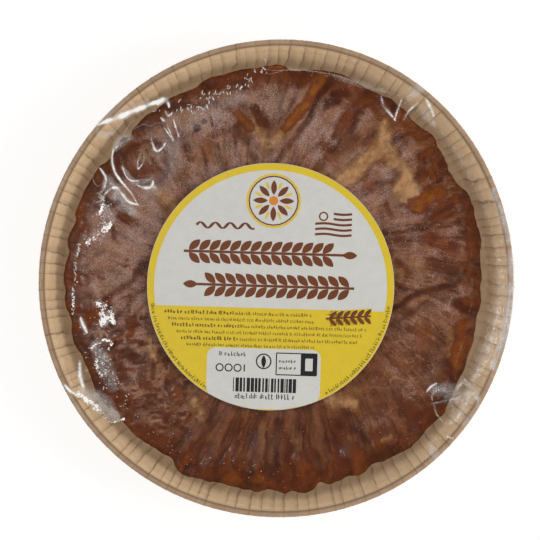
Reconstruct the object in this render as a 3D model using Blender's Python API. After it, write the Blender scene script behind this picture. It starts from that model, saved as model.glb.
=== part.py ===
"""A round butter cake in its pleated baking tray, wrapped in clear film with a round label.

All lengths are metres unless a name says otherwise. +Z is up, +Y is the far side of the cake.
The origin is the middle of the flat underside, on the axis of the tray.
"""

import math
from collections import namedtuple

import bpy
import numpy as np

MM = 0.001
PLEAT_SHARP_DEGREES = 28.0
SOFT_SHARP_DEGREES = 60.0

# Film: a thin skin shrunk round everything
FILM_THICKNESS = 0.0003
GAP = 0.0003
FILM_COLUMNS = 60
FILM_VENT_RADIUS = 0.012
FILM_CLEARANCE = 0.00015
FILM_LIP_ANGLES = (-25.0, 25.0, 75.0, 120.0)
FILM_TOP_RINGS = (0.86, 0.70, 0.50, 0.25)

# Tray
TRAY_OUTER_RADIUS = 0.095
TRAY_BASE_RADIUS = 0.0888
TRAY_HEIGHT = 0.0294
TRAY_PAPER = 0.0008
TRAY_UNDERSIDE = FILM_THICKNESS + GAP
TRAY_TOP = TRAY_UNDERSIDE + TRAY_HEIGHT
TRAY_FLOOR = TRAY_UNDERSIDE + TRAY_PAPER
BASE_CORNER = 0.0012
LIP_RADIUS = 0.00145
PLEATS = 120
PLEAT_DEPTH = 0.0006
PLEAT_PANEL_SHARE = 0.35
PLEAT_LEAN = 0.0016
PLEAT_AT_FOOT = 0.6
PLEAT_AT_LIP = 0.25
PILLOW_HEIGHT = 0.0060
PILLOW_BULGE = 0.0006
PLEAT_AT_PILLOW = 1.1

# Rolled bead of the tray's lip, and the slanted wall below it
LIP_MIDDLE_RADIUS = TRAY_OUTER_RADIUS - LIP_RADIUS
LIP_MIDDLE_HEIGHT = TRAY_TOP - LIP_RADIUS
LIP_ANGLES = (-80.0, -10.0, 60.0, 125.0, 180.0)
LIP_OVER_WALL = 0.8 * LIP_RADIUS
WALL_FOOT = TRAY_UNDERSIDE + BASE_CORNER
WALL_HEAD = LIP_MIDDLE_HEIGHT - LIP_RADIUS
WALL_TOP_RADIUS = LIP_MIDDLE_RADIUS - LIP_OVER_WALL

# Cake
CAKE_CENTRE = (-0.0004, -0.0001)
CAKE_RADIUS = 0.0864
CAKE_BOTTOM_RADIUS = 0.0795
CAKE_UNDERSIDE = TRAY_FLOOR + GAP
CAKE_SHOULDER = 0.0195
CAKE_TOP = 0.0240
CAKE_CROWN = 0.0016
CAKE_EDGE_DROP = 0.0032
CAKE_EDGE_START = 0.84
CAKE_WALL_CLEARANCE = 0.0006
CAKE_COLUMNS = 144
CAKE_SIDE_HEIGHTS = (0.35, 0.75)
CAKE_TOP_RINGS = (0.985, 0.955, 0.92, 0.88, 0.84, 0.80, 0.76, 0.72, 0.68, 0.64, 0.60, 0.52, 0.32)
EDGE_LUMP_HEIGHT = 0.0008
EDGE_LUMP_COUNTS = (7, 13, 23, 37)
TOP_MEAN_DEPTH = 0.0016
TOP_UNEVENNESS = 0.0009
TOP_WAVELENGTHS_MM = (11.0, 30.0)
TOP_WAVE_COUNT = 10
CALM_MIDDLE = (0.25, 0.60)

# A broad wave of the cake's outline: how many go round, how far it reaches, and a crest's angle
EdgeWave = namedtuple("EdgeWave", "count reach crest")
EDGE_WAVES = (
    EdgeWave(count=2, reach=0.00113, crest=math.radians(72.0)),
    EdgeWave(count=3, reach=0.00115, crest=math.radians(-56.0)),
    EdgeWave(count=4, reach=0.00042, crest=math.radians(7.0)),
    EdgeWave(count=5, reach=0.00067, crest=math.radians(22.0)),
)

# Gathered folds that run from under the label to the near edge
GATHER_MIDDLE = math.radians(272.0)
GATHER_HALF_SPAN = math.radians(38.0)
GATHER_PITCH = math.radians(7.2)
GATHER_DEPTH = 0.0018
GATHER_START = 0.55

# Label
LABEL_CENTRE = (-0.0023, -0.0032)
LABEL_RADIUS = 0.0496
LABEL_THICKNESS = 0.0003
LABEL_COLUMNS = 60
LABEL_RINGS = (0.34, 0.68)

# A fold or crease of the dough: its ends, its sideways bow, its width and its rise, in millimetres
Fold = namedtuple("Fold", "start end bow width rise")
FOLDS = (
    Fold(start=(-21.9, 72.9), end=(-4.2, 56.7), bow=1.5, width=7.0, rise=1.5),
    Fold(start=(16.8, 78.5), end=(-0.9, 56.7), bow=-1.5, width=7.0, rise=1.5),
    Fold(start=(-1.0, 80.0), end=(-2.0, 66.0), bow=0.0, width=11.0, rise=-1.2),
    Fold(start=(-17.0, 61.0), end=(-6.0, 45.0), bow=1.0, width=6.0, rise=-1.6),
    Fold(start=(45.4, 60.8), end=(26.5, 39.4), bow=-1.0, width=7.0, rise=1.3),
    Fold(start=(45.4, 60.8), end=(58.3, 30.5), bow=2.0, width=8.0, rise=1.4),
    Fold(start=(55.0, 53.0), end=(62.0, 36.0), bow=-3.0, width=5.0, rise=-1.5),
    Fold(start=(48.0, -14.0), end=(77.0, 7.0), bow=-3.0, width=6.0, rise=-1.6),
    Fold(start=(50.0, -20.5), end=(78.0, -5.0), bow=-3.5, width=6.5, rise=1.3),
    Fold(start=(50.0, -28.0), end=(76.0, -14.0), bow=-4.0, width=6.0, rise=-1.5),
    Fold(start=(74.0, -18.0), end=(70.0, -44.0), bow=-3.0, width=8.0, rise=1.3),
    Fold(start=(63.0, -20.0), end=(60.0, -48.0), bow=-2.0, width=6.0, rise=-1.1),
    Fold(start=(-54.0, 3.0), end=(-76.0, -20.0), bow=2.5, width=6.0, rise=-1.6),
    Fold(start=(-52.0, -8.0), end=(-73.0, -31.0), bow=2.5, width=7.0, rise=1.3),
    Fold(start=(-50.0, -20.0), end=(-68.0, -46.0), bow=2.5, width=6.0, rise=-1.5),
    Fold(start=(-40.0, 62.0), end=(-28.0, 44.0), bow=0.5, width=6.0, rise=-1.0),
    Fold(start=(-33.0, 70.0), end=(-22.0, 48.0), bow=0.5, width=6.0, rise=0.9),
)

# Round swellings: middle and radius in millimetres, each with a moat round it
Swelling = namedtuple("Swelling", "middle radius rise")
SWELLINGS = (
    Swelling(middle=(-52.1, 47.9), radius=9.5, rise=1.5),
    Swelling(middle=(41.8, -62.2), radius=11.0, rise=1.5),
    Swelling(middle=(63.5, 46.0), radius=6.0, rise=1.2),
    Swelling(middle=(-40.8, -45.8), radius=5.5, rise=1.0),
    Swelling(middle=(-71.0, 8.0), radius=7.0, rise=1.1),
    Swelling(middle=(11.0, -76.0), radius=7.0, rise=1.2),
    Swelling(middle=(26.0, 68.0), radius=6.5, rise=1.1),
)
MOAT_DEPTH = 0.0009
MOAT_WIDTH = 0.3


def clear_scene():
    """Remove every object that the scene starts with."""
    for item in list(bpy.data.objects):
        bpy.data.objects.remove(item, do_unlink=True)


def make_material(name, colour, roughness, metallic=0.0, alpha=1.0):
    """Return a Principled material of one plain colour."""
    material = bpy.data.materials.new(name)
    material.use_nodes = True
    shader = material.node_tree.nodes["Principled BSDF"]
    shader.inputs["Base Color"].default_value = (*colour, 1.0)
    shader.inputs["Roughness"].default_value = roughness
    shader.inputs["Metallic"].default_value = metallic
    shader.inputs["Alpha"].default_value = alpha
    return material


def smooth_step(low, high, value):
    """Rise smoothly from 0 at low to 1 at high."""
    share = np.clip((value - low) / (high - low), 0.0, 1.0)
    return share * share * (3.0 - 2.0 * share)


def circle_angles(columns):
    """Return evenly spaced angles once round."""
    return np.arange(columns) * (2.0 * math.pi / columns)


def ring(radius, angles, height, centre=(0.0, 0.0)):
    """Return one ring of points, with radius and height as numbers or one value for each angle."""
    across = centre[0] + radius * np.cos(angles)
    along = centre[1] + radius * np.sin(angles)
    return np.column_stack((across, along, np.broadcast_to(height, angles.shape)))


def turned_body(name, first_point, rings, last_point, material, sharp_degrees):
    """Join rings of points into one closed body, with a fan of faces at each end.

    The rings run from the first point out along the underside, up the outside and back over
    the top to the last point, so that every face looks outwards.
    """
    columns = len(rings[0])
    points = [tuple(first_point)]
    for loop in rings:
        points.extend(map(tuple, loop))
    points.append(tuple(last_point))
    last = len(points) - 1

    faces = []
    for step in range(columns):
        after = (step + 1) % columns
        faces.append((0, 1 + after, 1 + step))
        for row in range(len(rings) - 1):
            low = 1 + row * columns
            high = low + columns
            faces.append((low + step, low + after, high + after, high + step))
        top = 1 + (len(rings) - 1) * columns
        faces.append((top + step, top + after, last))

    mesh = bpy.data.meshes.new(name)
    mesh.from_pydata(points, [], faces)
    mesh.materials.append(material)
    mesh.validate()
    mesh.shade_smooth()
    mesh.set_sharp_from_angle(angle=math.radians(sharp_degrees))
    body = bpy.data.objects.new(name, mesh)
    bpy.context.collection.objects.link(body)
    return body


def wall_radius(height):
    """Return the outside radius of the tray's slanted wall at a height, without pleats."""
    share = (height - WALL_FOOT) / (WALL_HEAD - WALL_FOOT)
    return TRAY_BASE_RADIUS + share * (WALL_TOP_RADIUS - TRAY_BASE_RADIUS)


def pleat_angles():
    """Return two angles for each pleat: its crease, and the panel beside it."""
    pitch = 2.0 * math.pi / PLEATS
    creases = np.arange(PLEATS) * pitch
    panels = creases + PLEAT_PANEL_SHARE * pitch
    return np.column_stack((creases, panels)).ravel()


def pleat_ring(radius, height, weight):
    """Return one ring of the tray: creases stand out and panels stand in, by weight."""
    share = (height - TRAY_UNDERSIDE) / TRAY_HEIGHT
    angles = pleat_angles() + PLEAT_LEAN * share / TRAY_BASE_RADIUS
    side = np.tile((1.0, -1.0), PLEATS)
    return ring(radius + weight * PLEAT_DEPTH * side, angles, height)


def lip_ring(degrees, weight):
    """Return a ring on the round bead of the lip, at an angle round its section."""
    turn = math.radians(degrees)
    radius = LIP_MIDDLE_RADIUS + LIP_RADIUS * math.cos(turn)
    height = LIP_MIDDLE_HEIGHT + LIP_RADIUS * math.sin(turn)
    return pleat_ring(radius, height, weight)


def make_tray():
    """Build the pleated paper tray: flat base, panels pillowed near the foot, rolled lip."""
    paper = make_material("kraft_paper", (0.50, 0.36, 0.22), 0.85)
    inner_foot = TRAY_FLOOR + BASE_CORNER
    rings = [
        pleat_ring(TRAY_BASE_RADIUS - BASE_CORNER, TRAY_UNDERSIDE, 0.0),
        pleat_ring(TRAY_BASE_RADIUS, WALL_FOOT, PLEAT_AT_FOOT),
        pleat_ring(WALL_TOP_RADIUS, WALL_HEAD, 1.0),
    ]
    rings += [lip_ring(degrees, PLEAT_AT_LIP) for degrees in LIP_ANGLES]
    rings += [
        pleat_ring(WALL_TOP_RADIUS - TRAY_PAPER, WALL_HEAD, 1.0),
        pleat_ring(wall_radius(PILLOW_HEIGHT) - TRAY_PAPER - PILLOW_BULGE, PILLOW_HEIGHT, PLEAT_AT_PILLOW),
        pleat_ring(wall_radius(inner_foot) - TRAY_PAPER, inner_foot, PLEAT_AT_FOOT),
        pleat_ring(TRAY_BASE_RADIUS - TRAY_PAPER - BASE_CORNER, TRAY_FLOOR, 0.0),
    ]
    first = (0.0, 0.0, TRAY_UNDERSIDE)
    last = (0.0, 0.0, TRAY_FLOOR)
    return turned_body("tray", first, rings, last, paper, PLEAT_SHARP_DEGREES)


def cake_edge_radius(angles):
    """Return the cake's uneven radius round its own middle."""
    draw = np.random.default_rng(11)
    radius = np.full(np.shape(angles), CAKE_RADIUS)
    for wave in EDGE_WAVES:
        radius = radius + wave.reach * np.cos(wave.count * (angles - wave.crest))
    for count in EDGE_LUMP_COUNTS:
        phase = draw.uniform(0.0, 2.0 * math.pi)
        share = EDGE_LUMP_HEIGHT / math.sqrt(len(EDGE_LUMP_COUNTS))
        radius = radius + share * np.sin(count * angles + phase)
    return radius


def fold_distance(x, y, fold):
    """Return how far points lie from a fold's bowed line."""
    start = np.array(fold.start) * MM
    end = np.array(fold.end) * MM
    run = end - start
    length = np.hypot(*run)
    ahead = run / length
    aside = np.array((-ahead[1], ahead[0]))
    along = ((x - start[0]) * ahead[0] + (y - start[1]) * ahead[1]) / length
    off = (x - start[0]) * aside[0] + (y - start[1]) * aside[1]
    inside = np.clip(along, 0.0, 1.0)
    bowed = 4.0 * fold.bow * MM * inside * (1.0 - inside)
    past_end = (along - inside) * length
    return np.hypot(off - bowed, past_end)


def cake_top_height(x, y):
    """Return the smooth crowned surface that touches the highest points of the cake."""
    across = x - CAKE_CENTRE[0]
    along = y - CAKE_CENTRE[1]
    share = np.hypot(across, along) / CAKE_RADIUS
    return CAKE_TOP - CAKE_CROWN * share * share


def gathered_folds(x, y):
    """Return how deep the furrows between the gathered folds of the near side are."""
    across = x - CAKE_CENTRE[0]
    along = y - CAKE_CENTRE[1]
    angle = np.mod(np.arctan2(along, across), 2.0 * math.pi)
    share = np.hypot(across, along) / CAKE_RADIUS
    offset = angle - GATHER_MIDDLE
    furrow = 0.5 - 0.5 * np.cos(2.0 * math.pi * offset / GATHER_PITCH)
    sector = 1.0 - smooth_step(0.75 * GATHER_HALF_SPAN, GATHER_HALF_SPAN, np.abs(offset))
    return GATHER_DEPTH * furrow * furrow * sector * smooth_step(GATHER_START, 0.9, share)


def unevenness(x, y):
    """Return the gentle humps and dips of the top, which fade out under the label."""
    draw = np.random.default_rng(23)
    total = np.zeros(np.shape(x))
    for _ in range(TOP_WAVE_COUNT):
        wavelength = draw.uniform(*TOP_WAVELENGTHS_MM) * MM
        heading = draw.uniform(0.0, math.pi)
        phase = draw.uniform(0.0, 2.0 * math.pi)
        travel = x * math.cos(heading) + y * math.sin(heading)
        total = total + np.sin(2.0 * math.pi * travel / wavelength + phase)
    share = np.hypot(x - CAKE_CENTRE[0], y - CAKE_CENTRE[1]) / CAKE_RADIUS
    strength = TOP_UNEVENNESS / math.sqrt(TOP_WAVE_COUNT) * smooth_step(*CALM_MIDDLE, share)
    return strength * total


def relief_depth(x, y):
    """Return how far the cake's top lies below its smooth crowned surface."""
    depth = TOP_MEAN_DEPTH + unevenness(x, y)
    for fold in FOLDS:
        off = fold_distance(x, y, fold) / (0.5 * fold.width * MM)
        depth = depth - fold.rise * MM * np.exp(-off * off)
    for swelling in SWELLINGS:
        middle = np.array(swelling.middle) * MM
        off = np.hypot(x - middle[0], y - middle[1]) / (swelling.radius * MM)
        dome = np.clip(1.0 - off * off, 0.0, 1.0)
        moat = np.exp(-((off - 1.0) / MOAT_WIDTH) ** 2)
        depth = depth - swelling.rise * MM * dome + MOAT_DEPTH * moat
    return np.maximum(depth + gathered_folds(x, y), 0.0)


def inside_wall(points):
    """Pull points in where they come too near the inner face of the tray's wall."""
    limit = wall_radius(points[:, 2]) - TRAY_PAPER - PLEAT_DEPTH - CAKE_WALL_CLEARANCE
    distance = np.hypot(points[:, 0], points[:, 1])
    share = np.minimum(1.0, limit / np.maximum(distance, MM))
    pulled = points.copy()
    pulled[:, 0] *= share
    pulled[:, 1] *= share
    return pulled


def make_cake():
    """Build the solid cake: flat underside, bulging side, and a top with its folds in relief."""
    crust = make_material("caramelised_crust", (0.20, 0.075, 0.035), 0.35)
    angles = circle_angles(CAKE_COLUMNS)
    edge = cake_edge_radius(angles)
    rings = [ring(CAKE_BOTTOM_RADIUS, angles, CAKE_UNDERSIDE, CAKE_CENTRE)]
    for share in CAKE_SIDE_HEIGHTS:
        radius = CAKE_BOTTOM_RADIUS + (edge - CAKE_BOTTOM_RADIUS) * share ** 0.7
        height = CAKE_UNDERSIDE + share * (CAKE_SHOULDER - CAKE_UNDERSIDE)
        rings.append(inside_wall(ring(radius, angles, height, CAKE_CENTRE)))
    for share in CAKE_TOP_RINGS:
        flat = ring(edge * share, angles, 0.0, CAKE_CENTRE)
        x = flat[:, 0]
        y = flat[:, 1]
        drop = CAKE_EDGE_DROP * smooth_step(CAKE_EDGE_START, 1.0, share) ** 2
        flat[:, 2] = cake_top_height(x, y) - relief_depth(x, y) - drop
        rings.append(inside_wall(flat))
    middle = np.array(CAKE_CENTRE)
    crown = cake_top_height(*middle) - relief_depth(*middle)
    first = (*CAKE_CENTRE, CAKE_UNDERSIDE)
    last = (*CAKE_CENTRE, crown)
    return turned_body("cake", first, rings, last, crust, SOFT_SHARP_DEGREES)


def film_section():
    """Return the film's section outside the cake as (radius, height) of its outer face.

    It runs up the outside: from the vent under the base to the corner, the lip and over it.
    """
    clear = FILM_THICKNESS + GAP + FILM_CLEARANCE
    lip_reach = LIP_RADIUS + clear
    section = [
        (FILM_VENT_RADIUS, 0.0),
        (TRAY_BASE_RADIUS - BASE_CORNER, 0.0),
        (TRAY_BASE_RADIUS + PLEAT_AT_FOOT * PLEAT_DEPTH + clear, BASE_CORNER),
    ]
    for degrees in FILM_LIP_ANGLES:
        turn = math.radians(degrees)
        radius = LIP_MIDDLE_RADIUS + lip_reach * math.cos(turn)
        height = LIP_MIDDLE_HEIGHT + lip_reach * math.sin(turn)
        section.append((radius, height))
    return section


def offset_section(section, distance):
    """Move a section inwards, to the film's inner face, square to its run at each point."""
    moved = []
    for index, (radius, height) in enumerate(section):
        before = section[max(index - 1, 0)]
        after = section[min(index + 1, len(section) - 1)]
        run = np.array(after) - np.array(before)
        run = run / np.hypot(*run)
        moved.append((radius - run[1] * distance, height + run[0] * distance))
    return moved


def film_top_rings(lift):
    """Return the rings of the film where it lies on the cake, from the cake's edge inwards."""
    angles = circle_angles(FILM_COLUMNS)
    rings = []
    for share in FILM_TOP_RINGS:
        flat = ring(CAKE_RADIUS * share, angles, 0.0, CAKE_CENTRE)
        flat[:, 2] = cake_top_height(flat[:, 0], flat[:, 1]) + lift
        rings.append(flat)
    return rings


def make_film():
    """Build the clear skin: over the cake and the lip, down the wall and under the base."""
    clear_film = make_material("clear_film", (0.90, 0.90, 0.90), 0.08, alpha=0.15)
    angles = circle_angles(FILM_COLUMNS)
    outer = film_section()
    inner = offset_section(outer, FILM_THICKNESS)
    inner[0] = (FILM_VENT_RADIUS, FILM_THICKNESS)
    inner[1] = (inner[1][0], FILM_THICKNESS)
    top_inner = film_top_rings(GAP)
    top_outer = film_top_rings(GAP + FILM_THICKNESS)
    rings = top_inner[::-1]
    rings += [ring(radius, angles, height) for radius, height in reversed(inner)]
    rings += [ring(radius, angles, height) for radius, height in outer]
    rings += top_outer
    crown = cake_top_height(*np.array(CAKE_CENTRE)) + GAP
    first = (*CAKE_CENTRE, crown)
    last = (*CAKE_CENTRE, crown + FILM_THICKNESS)
    return turned_body("film", first, rings, last, clear_film, SOFT_SHARP_DEGREES)


def make_label():
    """Build the thin round label that lies on the film."""
    print_paper = make_material("label_paper", (0.80, 0.74, 0.45), 0.55)
    angles = circle_angles(LABEL_COLUMNS)
    underside = 2.0 * GAP + FILM_THICKNESS

    def face(share, lift):
        flat = ring(LABEL_RADIUS * share, angles, 0.0, LABEL_CENTRE)
        flat[:, 2] = cake_top_height(flat[:, 0], flat[:, 1]) + lift
        return flat

    shares = LABEL_RINGS + (1.0,)
    rings = [face(share, underside) for share in shares]
    rings += [face(share, underside + LABEL_THICKNESS) for share in reversed(shares)]
    crown = cake_top_height(*np.array(LABEL_CENTRE)) + underside
    first = (*LABEL_CENTRE, crown)
    last = (*LABEL_CENTRE, crown + LABEL_THICKNESS)
    return turned_body("label", first, rings, last, print_paper, SOFT_SHARP_DEGREES)


def main():
    """Build every piece of the wrapped cake."""
    clear_scene()
    make_tray()
    make_cake()
    make_film()
    make_label()


main()
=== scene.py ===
"""A round butter cake in its pleated paper tray, wrapped in clear film with a round label.

Every length is in metres unless a name says otherwise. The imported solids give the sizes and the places,
and the pieces made here stand for them. Spots that end in _px are places in the photograph's frame of 540
pixels, and from_photo turns them into places on the object.
"""

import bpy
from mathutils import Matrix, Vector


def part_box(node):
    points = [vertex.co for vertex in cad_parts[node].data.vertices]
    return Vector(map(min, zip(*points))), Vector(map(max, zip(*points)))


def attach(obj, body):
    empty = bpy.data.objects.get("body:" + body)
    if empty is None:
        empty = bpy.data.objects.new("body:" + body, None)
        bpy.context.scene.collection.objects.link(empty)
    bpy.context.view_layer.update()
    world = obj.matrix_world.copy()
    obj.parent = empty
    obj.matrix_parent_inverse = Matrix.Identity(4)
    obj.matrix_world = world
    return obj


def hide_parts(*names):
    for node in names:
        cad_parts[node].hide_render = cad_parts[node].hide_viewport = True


bl_info = {
    "name": "Wrapped Butter Cake",
    "version": (1, 0, 0),
    "blender": (4, 5, 0),
    "location": "3D View > Sidebar > Butter Cake",
    "description": "Builds a caramelised butter cake in a pleated tray, its film, its label and a studio",
    "category": "Add Mesh",
}

import math
from collections import namedtuple

import bpy
import numpy as np
from bpy.props import FloatProperty, FloatVectorProperty, IntProperty, PointerProperty
from mathutils import Vector
from mathutils.bvhtree import BVHTree

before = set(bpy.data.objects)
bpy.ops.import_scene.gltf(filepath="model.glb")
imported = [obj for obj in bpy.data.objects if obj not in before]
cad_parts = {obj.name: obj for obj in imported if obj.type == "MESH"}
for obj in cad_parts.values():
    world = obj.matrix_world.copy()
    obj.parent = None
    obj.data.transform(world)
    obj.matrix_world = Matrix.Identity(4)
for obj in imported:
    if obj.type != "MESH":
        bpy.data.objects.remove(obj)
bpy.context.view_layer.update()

MM = 0.001
FULL_TURN = 2.0 * math.pi
BODY = "root"

# The photograph's camera, straight above the cake
PHOTO_SIDE_PX = 540
CAMERA_PLACE = (-0.00255, 0.0035)
CAMERA_HEIGHT = 0.730
CAMERA_LENS_MM = 117.2
CAMERA_SENSOR_MM = 36.0

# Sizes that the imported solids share
TRAY_LOW, TRAY_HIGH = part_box("tray")
CAKE_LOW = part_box("cake")[0]
FILM_LOW, FILM_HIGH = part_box("film")
LABEL_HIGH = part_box("label")[1]
TRAY_RADIUS = 0.095
TRAY_BASE_RADIUS = 0.0888
TRAY_PAPER = 0.0008
TRAY_CORNER = 0.0012
PILLOW_HEIGHT = 0.0048
LIP_RADIUS = 0.00145
LIP_MIDDLE_RADIUS = TRAY_RADIUS - LIP_RADIUS
LIP_MIDDLE_HEIGHT = TRAY_HIGH.z - LIP_RADIUS
LIP_SPREAD = 0.00025
LIP_WAVES = (
    (1, 0.00036, math.radians(-20.0)), (2, 0.00036, math.radians(144.0)),
    (3, 0.00052, math.radians(214.0)), (4, 0.00018, math.radians(180.0)),
)
WALL_HEAD = LIP_MIDDLE_HEIGHT - LIP_RADIUS
WALL_TOP_RADIUS = LIP_MIDDLE_RADIUS - 0.8 * LIP_RADIUS
WALL_FOOT = TRAY_LOW.z + TRAY_CORNER
CAKE_CENTRE = (-0.0004, -0.0001)
CAKE_RADIUS = 0.0864
CAKE_TOP = 0.0240
CAKE_CROWN = 0.0016
SKIN_GAP = 0.0003
SKIN_THICKNESS = 0.0003
LABEL_CENTRE = (-0.0023, -0.0032)
LABEL_RADIUS = 0.0496
LABEL_THICKNESS = LABEL_HIGH.z - (CAKE_TOP + 2.0 * SKIN_GAP + SKIN_THICKNESS)


def clamp(value, low=0.0, high=1.0):
    """Keep a number or an array between two limits."""
    return np.minimum(np.maximum(value, low), high)


def smooth_step(low, high, value):
    """Rise smoothly from 0 at low to 1 at high."""
    share = clamp((value - low) / (high - low))
    return share * share * (3.0 - 2.0 * share)


def from_photo(spot_px, height):
    """Return where the photograph's spot lies on the level at this height."""
    pixel = (CAMERA_HEIGHT - height) * CAMERA_SENSOR_MM / CAMERA_LENS_MM / PHOTO_SIDE_PX
    middle = 0.5 * PHOTO_SIDE_PX
    x = CAMERA_PLACE[0] + (spot_px[0] - middle) * pixel
    y = CAMERA_PLACE[1] - (spot_px[1] - middle) * pixel
    return np.array((x, y))


def photo_path(numbers_px, height):
    """Return the spots on the object of a row of photograph spots, given as x, y, x, y and so on."""
    return np.array([from_photo(spot, height) for spot in zip(numbers_px[::2], numbers_px[1::2])])


def smooth_path(points, step):
    """Return points at an even step along a smooth curve through the given points."""
    points = np.asarray(points, dtype=float)
    padded = np.vstack((2.0 * points[0] - points[1], points, 2.0 * points[-1] - points[-2]))
    path = []
    for index in range(1, len(padded) - 2):
        before, start, end, after = padded[index - 1:index + 3]
        pieces = max(2, int(np.linalg.norm(end - start) / step))
        for share in np.arange(pieces) / pieces:
            square = share * share
            cube = square * share
            path.append(0.5 * (
                2.0 * start + (end - before) * share
                + (2.0 * before - 5.0 * start + 4.0 * end - after) * square
                + (3.0 * start - before - 3.0 * end + after) * cube
            ))
    path.append(points[-1])
    return np.array(path)


def path_distance(x, y, path):
    """Return how far spots lie from a path of points, and how far along it that is, from 0 to 1."""
    nearest = np.full(x.shape, np.inf)
    progress = np.zeros(x.shape)
    for index, (start, end) in enumerate(zip(path, path[1:])):
        run = end - start
        length_squared = max(float(run @ run), 1e-6 * MM * MM)
        along = clamp(((x - start[0]) * run[0] + (y - start[1]) * run[1]) / length_squared)
        distance = np.hypot(x - start[0] - along * run[0], y - start[1] - along * run[1])
        closer = distance < nearest
        nearest = np.where(closer, distance, nearest)
        progress = np.where(closer, (index + along) / (len(path) - 1), progress)
    return nearest, progress


def lip_wander(angle):
    """Return how far the lip stands out from a true circle at each angle."""
    wander = np.full(np.shape(angle), LIP_SPREAD)
    for count, reach, crest in LIP_WAVES:
        wander = wander + reach * np.cos(count * angle - crest)
    return wander


def lip_reach(x, y):
    """Return how far from the axis the lip's middle is in each spot's direction."""
    return LIP_MIDDLE_RADIUS + lip_wander(np.arctan2(y, x))


def from_label(x, y):
    """Return how far spots are from the label's middle."""
    return np.hypot(x - LABEL_CENTRE[0], y - LABEL_CENTRE[1])


def crown_height(x, y):
    """Return the smooth crowned level that touches the highest points of the cake."""
    share = np.hypot(x - CAKE_CENTRE[0], y - CAKE_CENTRE[1]) / CAKE_RADIUS
    return CAKE_TOP - CAKE_CROWN * share * share


def arc(radius, height, size, degrees):
    """Return a section's (radius, height) spots round a corner; degrees turn up from straight out."""
    turns = np.radians(degrees)
    return list(zip(radius + size * np.cos(turns), height + size * np.sin(turns)))


def slope(start, end, shares):
    """Return a section's (radius, height) spots at shares of the way from start to end."""
    return [np.add(start, share * np.subtract(end, start)) for share in shares]


# Smooth random fields

HASH_STEPS = (73856093, 19349663, 83492791)
HASH_SEED_STEP = 1013904223
HASH_FACTOR = 0x45D9F3B
HASH_MASK = 0xFFFFFFFF


def cell_values(cells, seed):
    """Return one fixed random number from -1 to 1 for each whole-number cell."""
    mixed = np.full(cells.shape[:-1], seed * HASH_SEED_STEP, dtype=np.int64)
    for axis, step in enumerate(HASH_STEPS):
        mixed = mixed ^ (cells[..., axis] * step)
    mixed = mixed & HASH_MASK
    for _ in range(2):
        mixed = (((mixed >> 16) ^ mixed) * HASH_FACTOR) & HASH_MASK
    mixed = (mixed >> 16) ^ mixed
    return mixed / (0.5 * HASH_MASK) - 1.0


def smooth_noise(x, y, z, wavelength, seed):
    """Return smooth random values from -1 to 1 that change over about one wavelength."""
    spot = np.stack(np.broadcast_arrays(x, y, z), axis=-1) / wavelength
    low = np.floor(spot).astype(np.int64)
    share = spot - low
    share = share * share * (3.0 - 2.0 * share)
    total = np.zeros(spot.shape[:-1])
    for corner in range(8):
        step = np.array([(corner >> axis) & 1 for axis in range(3)])
        weight = np.prod(np.where(step == 1, share, 1.0 - share), axis=-1)
        total = total + weight * cell_values(low + step, seed)
    return total


def rough_noise(x, y, z, wavelength, seed, octaves=3):
    """Add finer and weaker layers of smooth noise together."""
    total = np.zeros(np.broadcast(x, y, z).shape)
    strength = 1.0
    for octave in range(octaves):
        total = total + strength * smooth_noise(x, y, z, wavelength * 0.5 ** octave, seed + octave)
        strength = 0.5 * strength
    return total


def spoke_place(x, y, around, along, swirl):
    """Return places measured in streaks along and across the cake's spokes, which swirl turns."""
    across = x - CAKE_CENTRE[0]
    ahead = y - CAKE_CENTRE[1]
    reach = np.hypot(across, ahead)
    angle = np.arctan2(ahead, across) + swirl * reach / CAKE_RADIUS
    spread = 0.8 * CAKE_RADIUS / around
    return spread * np.cos(angle), spread * np.sin(angle), reach / along


def streak_noise(x, y, around, along, seed, swirl=0.0):
    """Return noise drawn out along the spokes of the cake."""
    return rough_noise(*spoke_place(x, y, around, along, swirl), 1.0, seed)


# Meshes

def closed_ring_faces(rows, columns, start):
    """Return the four-sided faces between rows of points that close on themselves."""
    grid = start + np.arange(rows * columns).reshape(rows, columns)
    low = grid[:-1]
    high = grid[1:]
    faces = np.stack((low, np.roll(low, -1, axis=1), np.roll(high, -1, axis=1), high), axis=-1)
    return faces.reshape(-1, 4).tolist()


def new_mesh_object(name, points, faces, materials, material_indices=None):
    """Make one smooth-shaded mesh object at the origin."""
    mesh = bpy.data.meshes.new(name)
    mesh.from_pydata(np.asarray(points).tolist(), [], faces)
    for material in materials:
        mesh.materials.append(material)
    if material_indices is not None:
        mesh.polygons.foreach_set("material_index", material_indices)
    mesh.shade_smooth()
    mesh.update()
    return add_to_scene(name, mesh)


def turned_rings(reach, heights, angles):
    """Return rings of points round the axis, from a table of reaches and one height for each ring."""
    parts = (reach * np.cos(angles), reach * np.sin(angles), heights[:, None])
    return np.stack(np.broadcast_arrays(*parts), axis=-1)


def turned_piece(name, rings, middle, material):
    """Join rings, from the underside's middle out, up and back over the top, into one closed body."""
    rows, columns, _ = rings.shape
    first, last = [(*middle, float(np.mean(rings[row, :, 2]))) for row in (0, -1)]
    points = np.vstack((first, rings.reshape(-1, 3), last))
    faces = closed_ring_faces(rows, columns, 1)
    tip = len(points) - 1
    top = tip - columns
    for step in range(columns):
        after = (step + 1) % columns
        faces.append((0, 1 + after, 1 + step))
        faces.append((top + step, top + after, tip))
    return new_mesh_object(name, points, faces, [material])


FIELDS = {"FLOAT": "value", "FLOAT_VECTOR": "vector", "FLOAT_COLOR": "color"}


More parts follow.
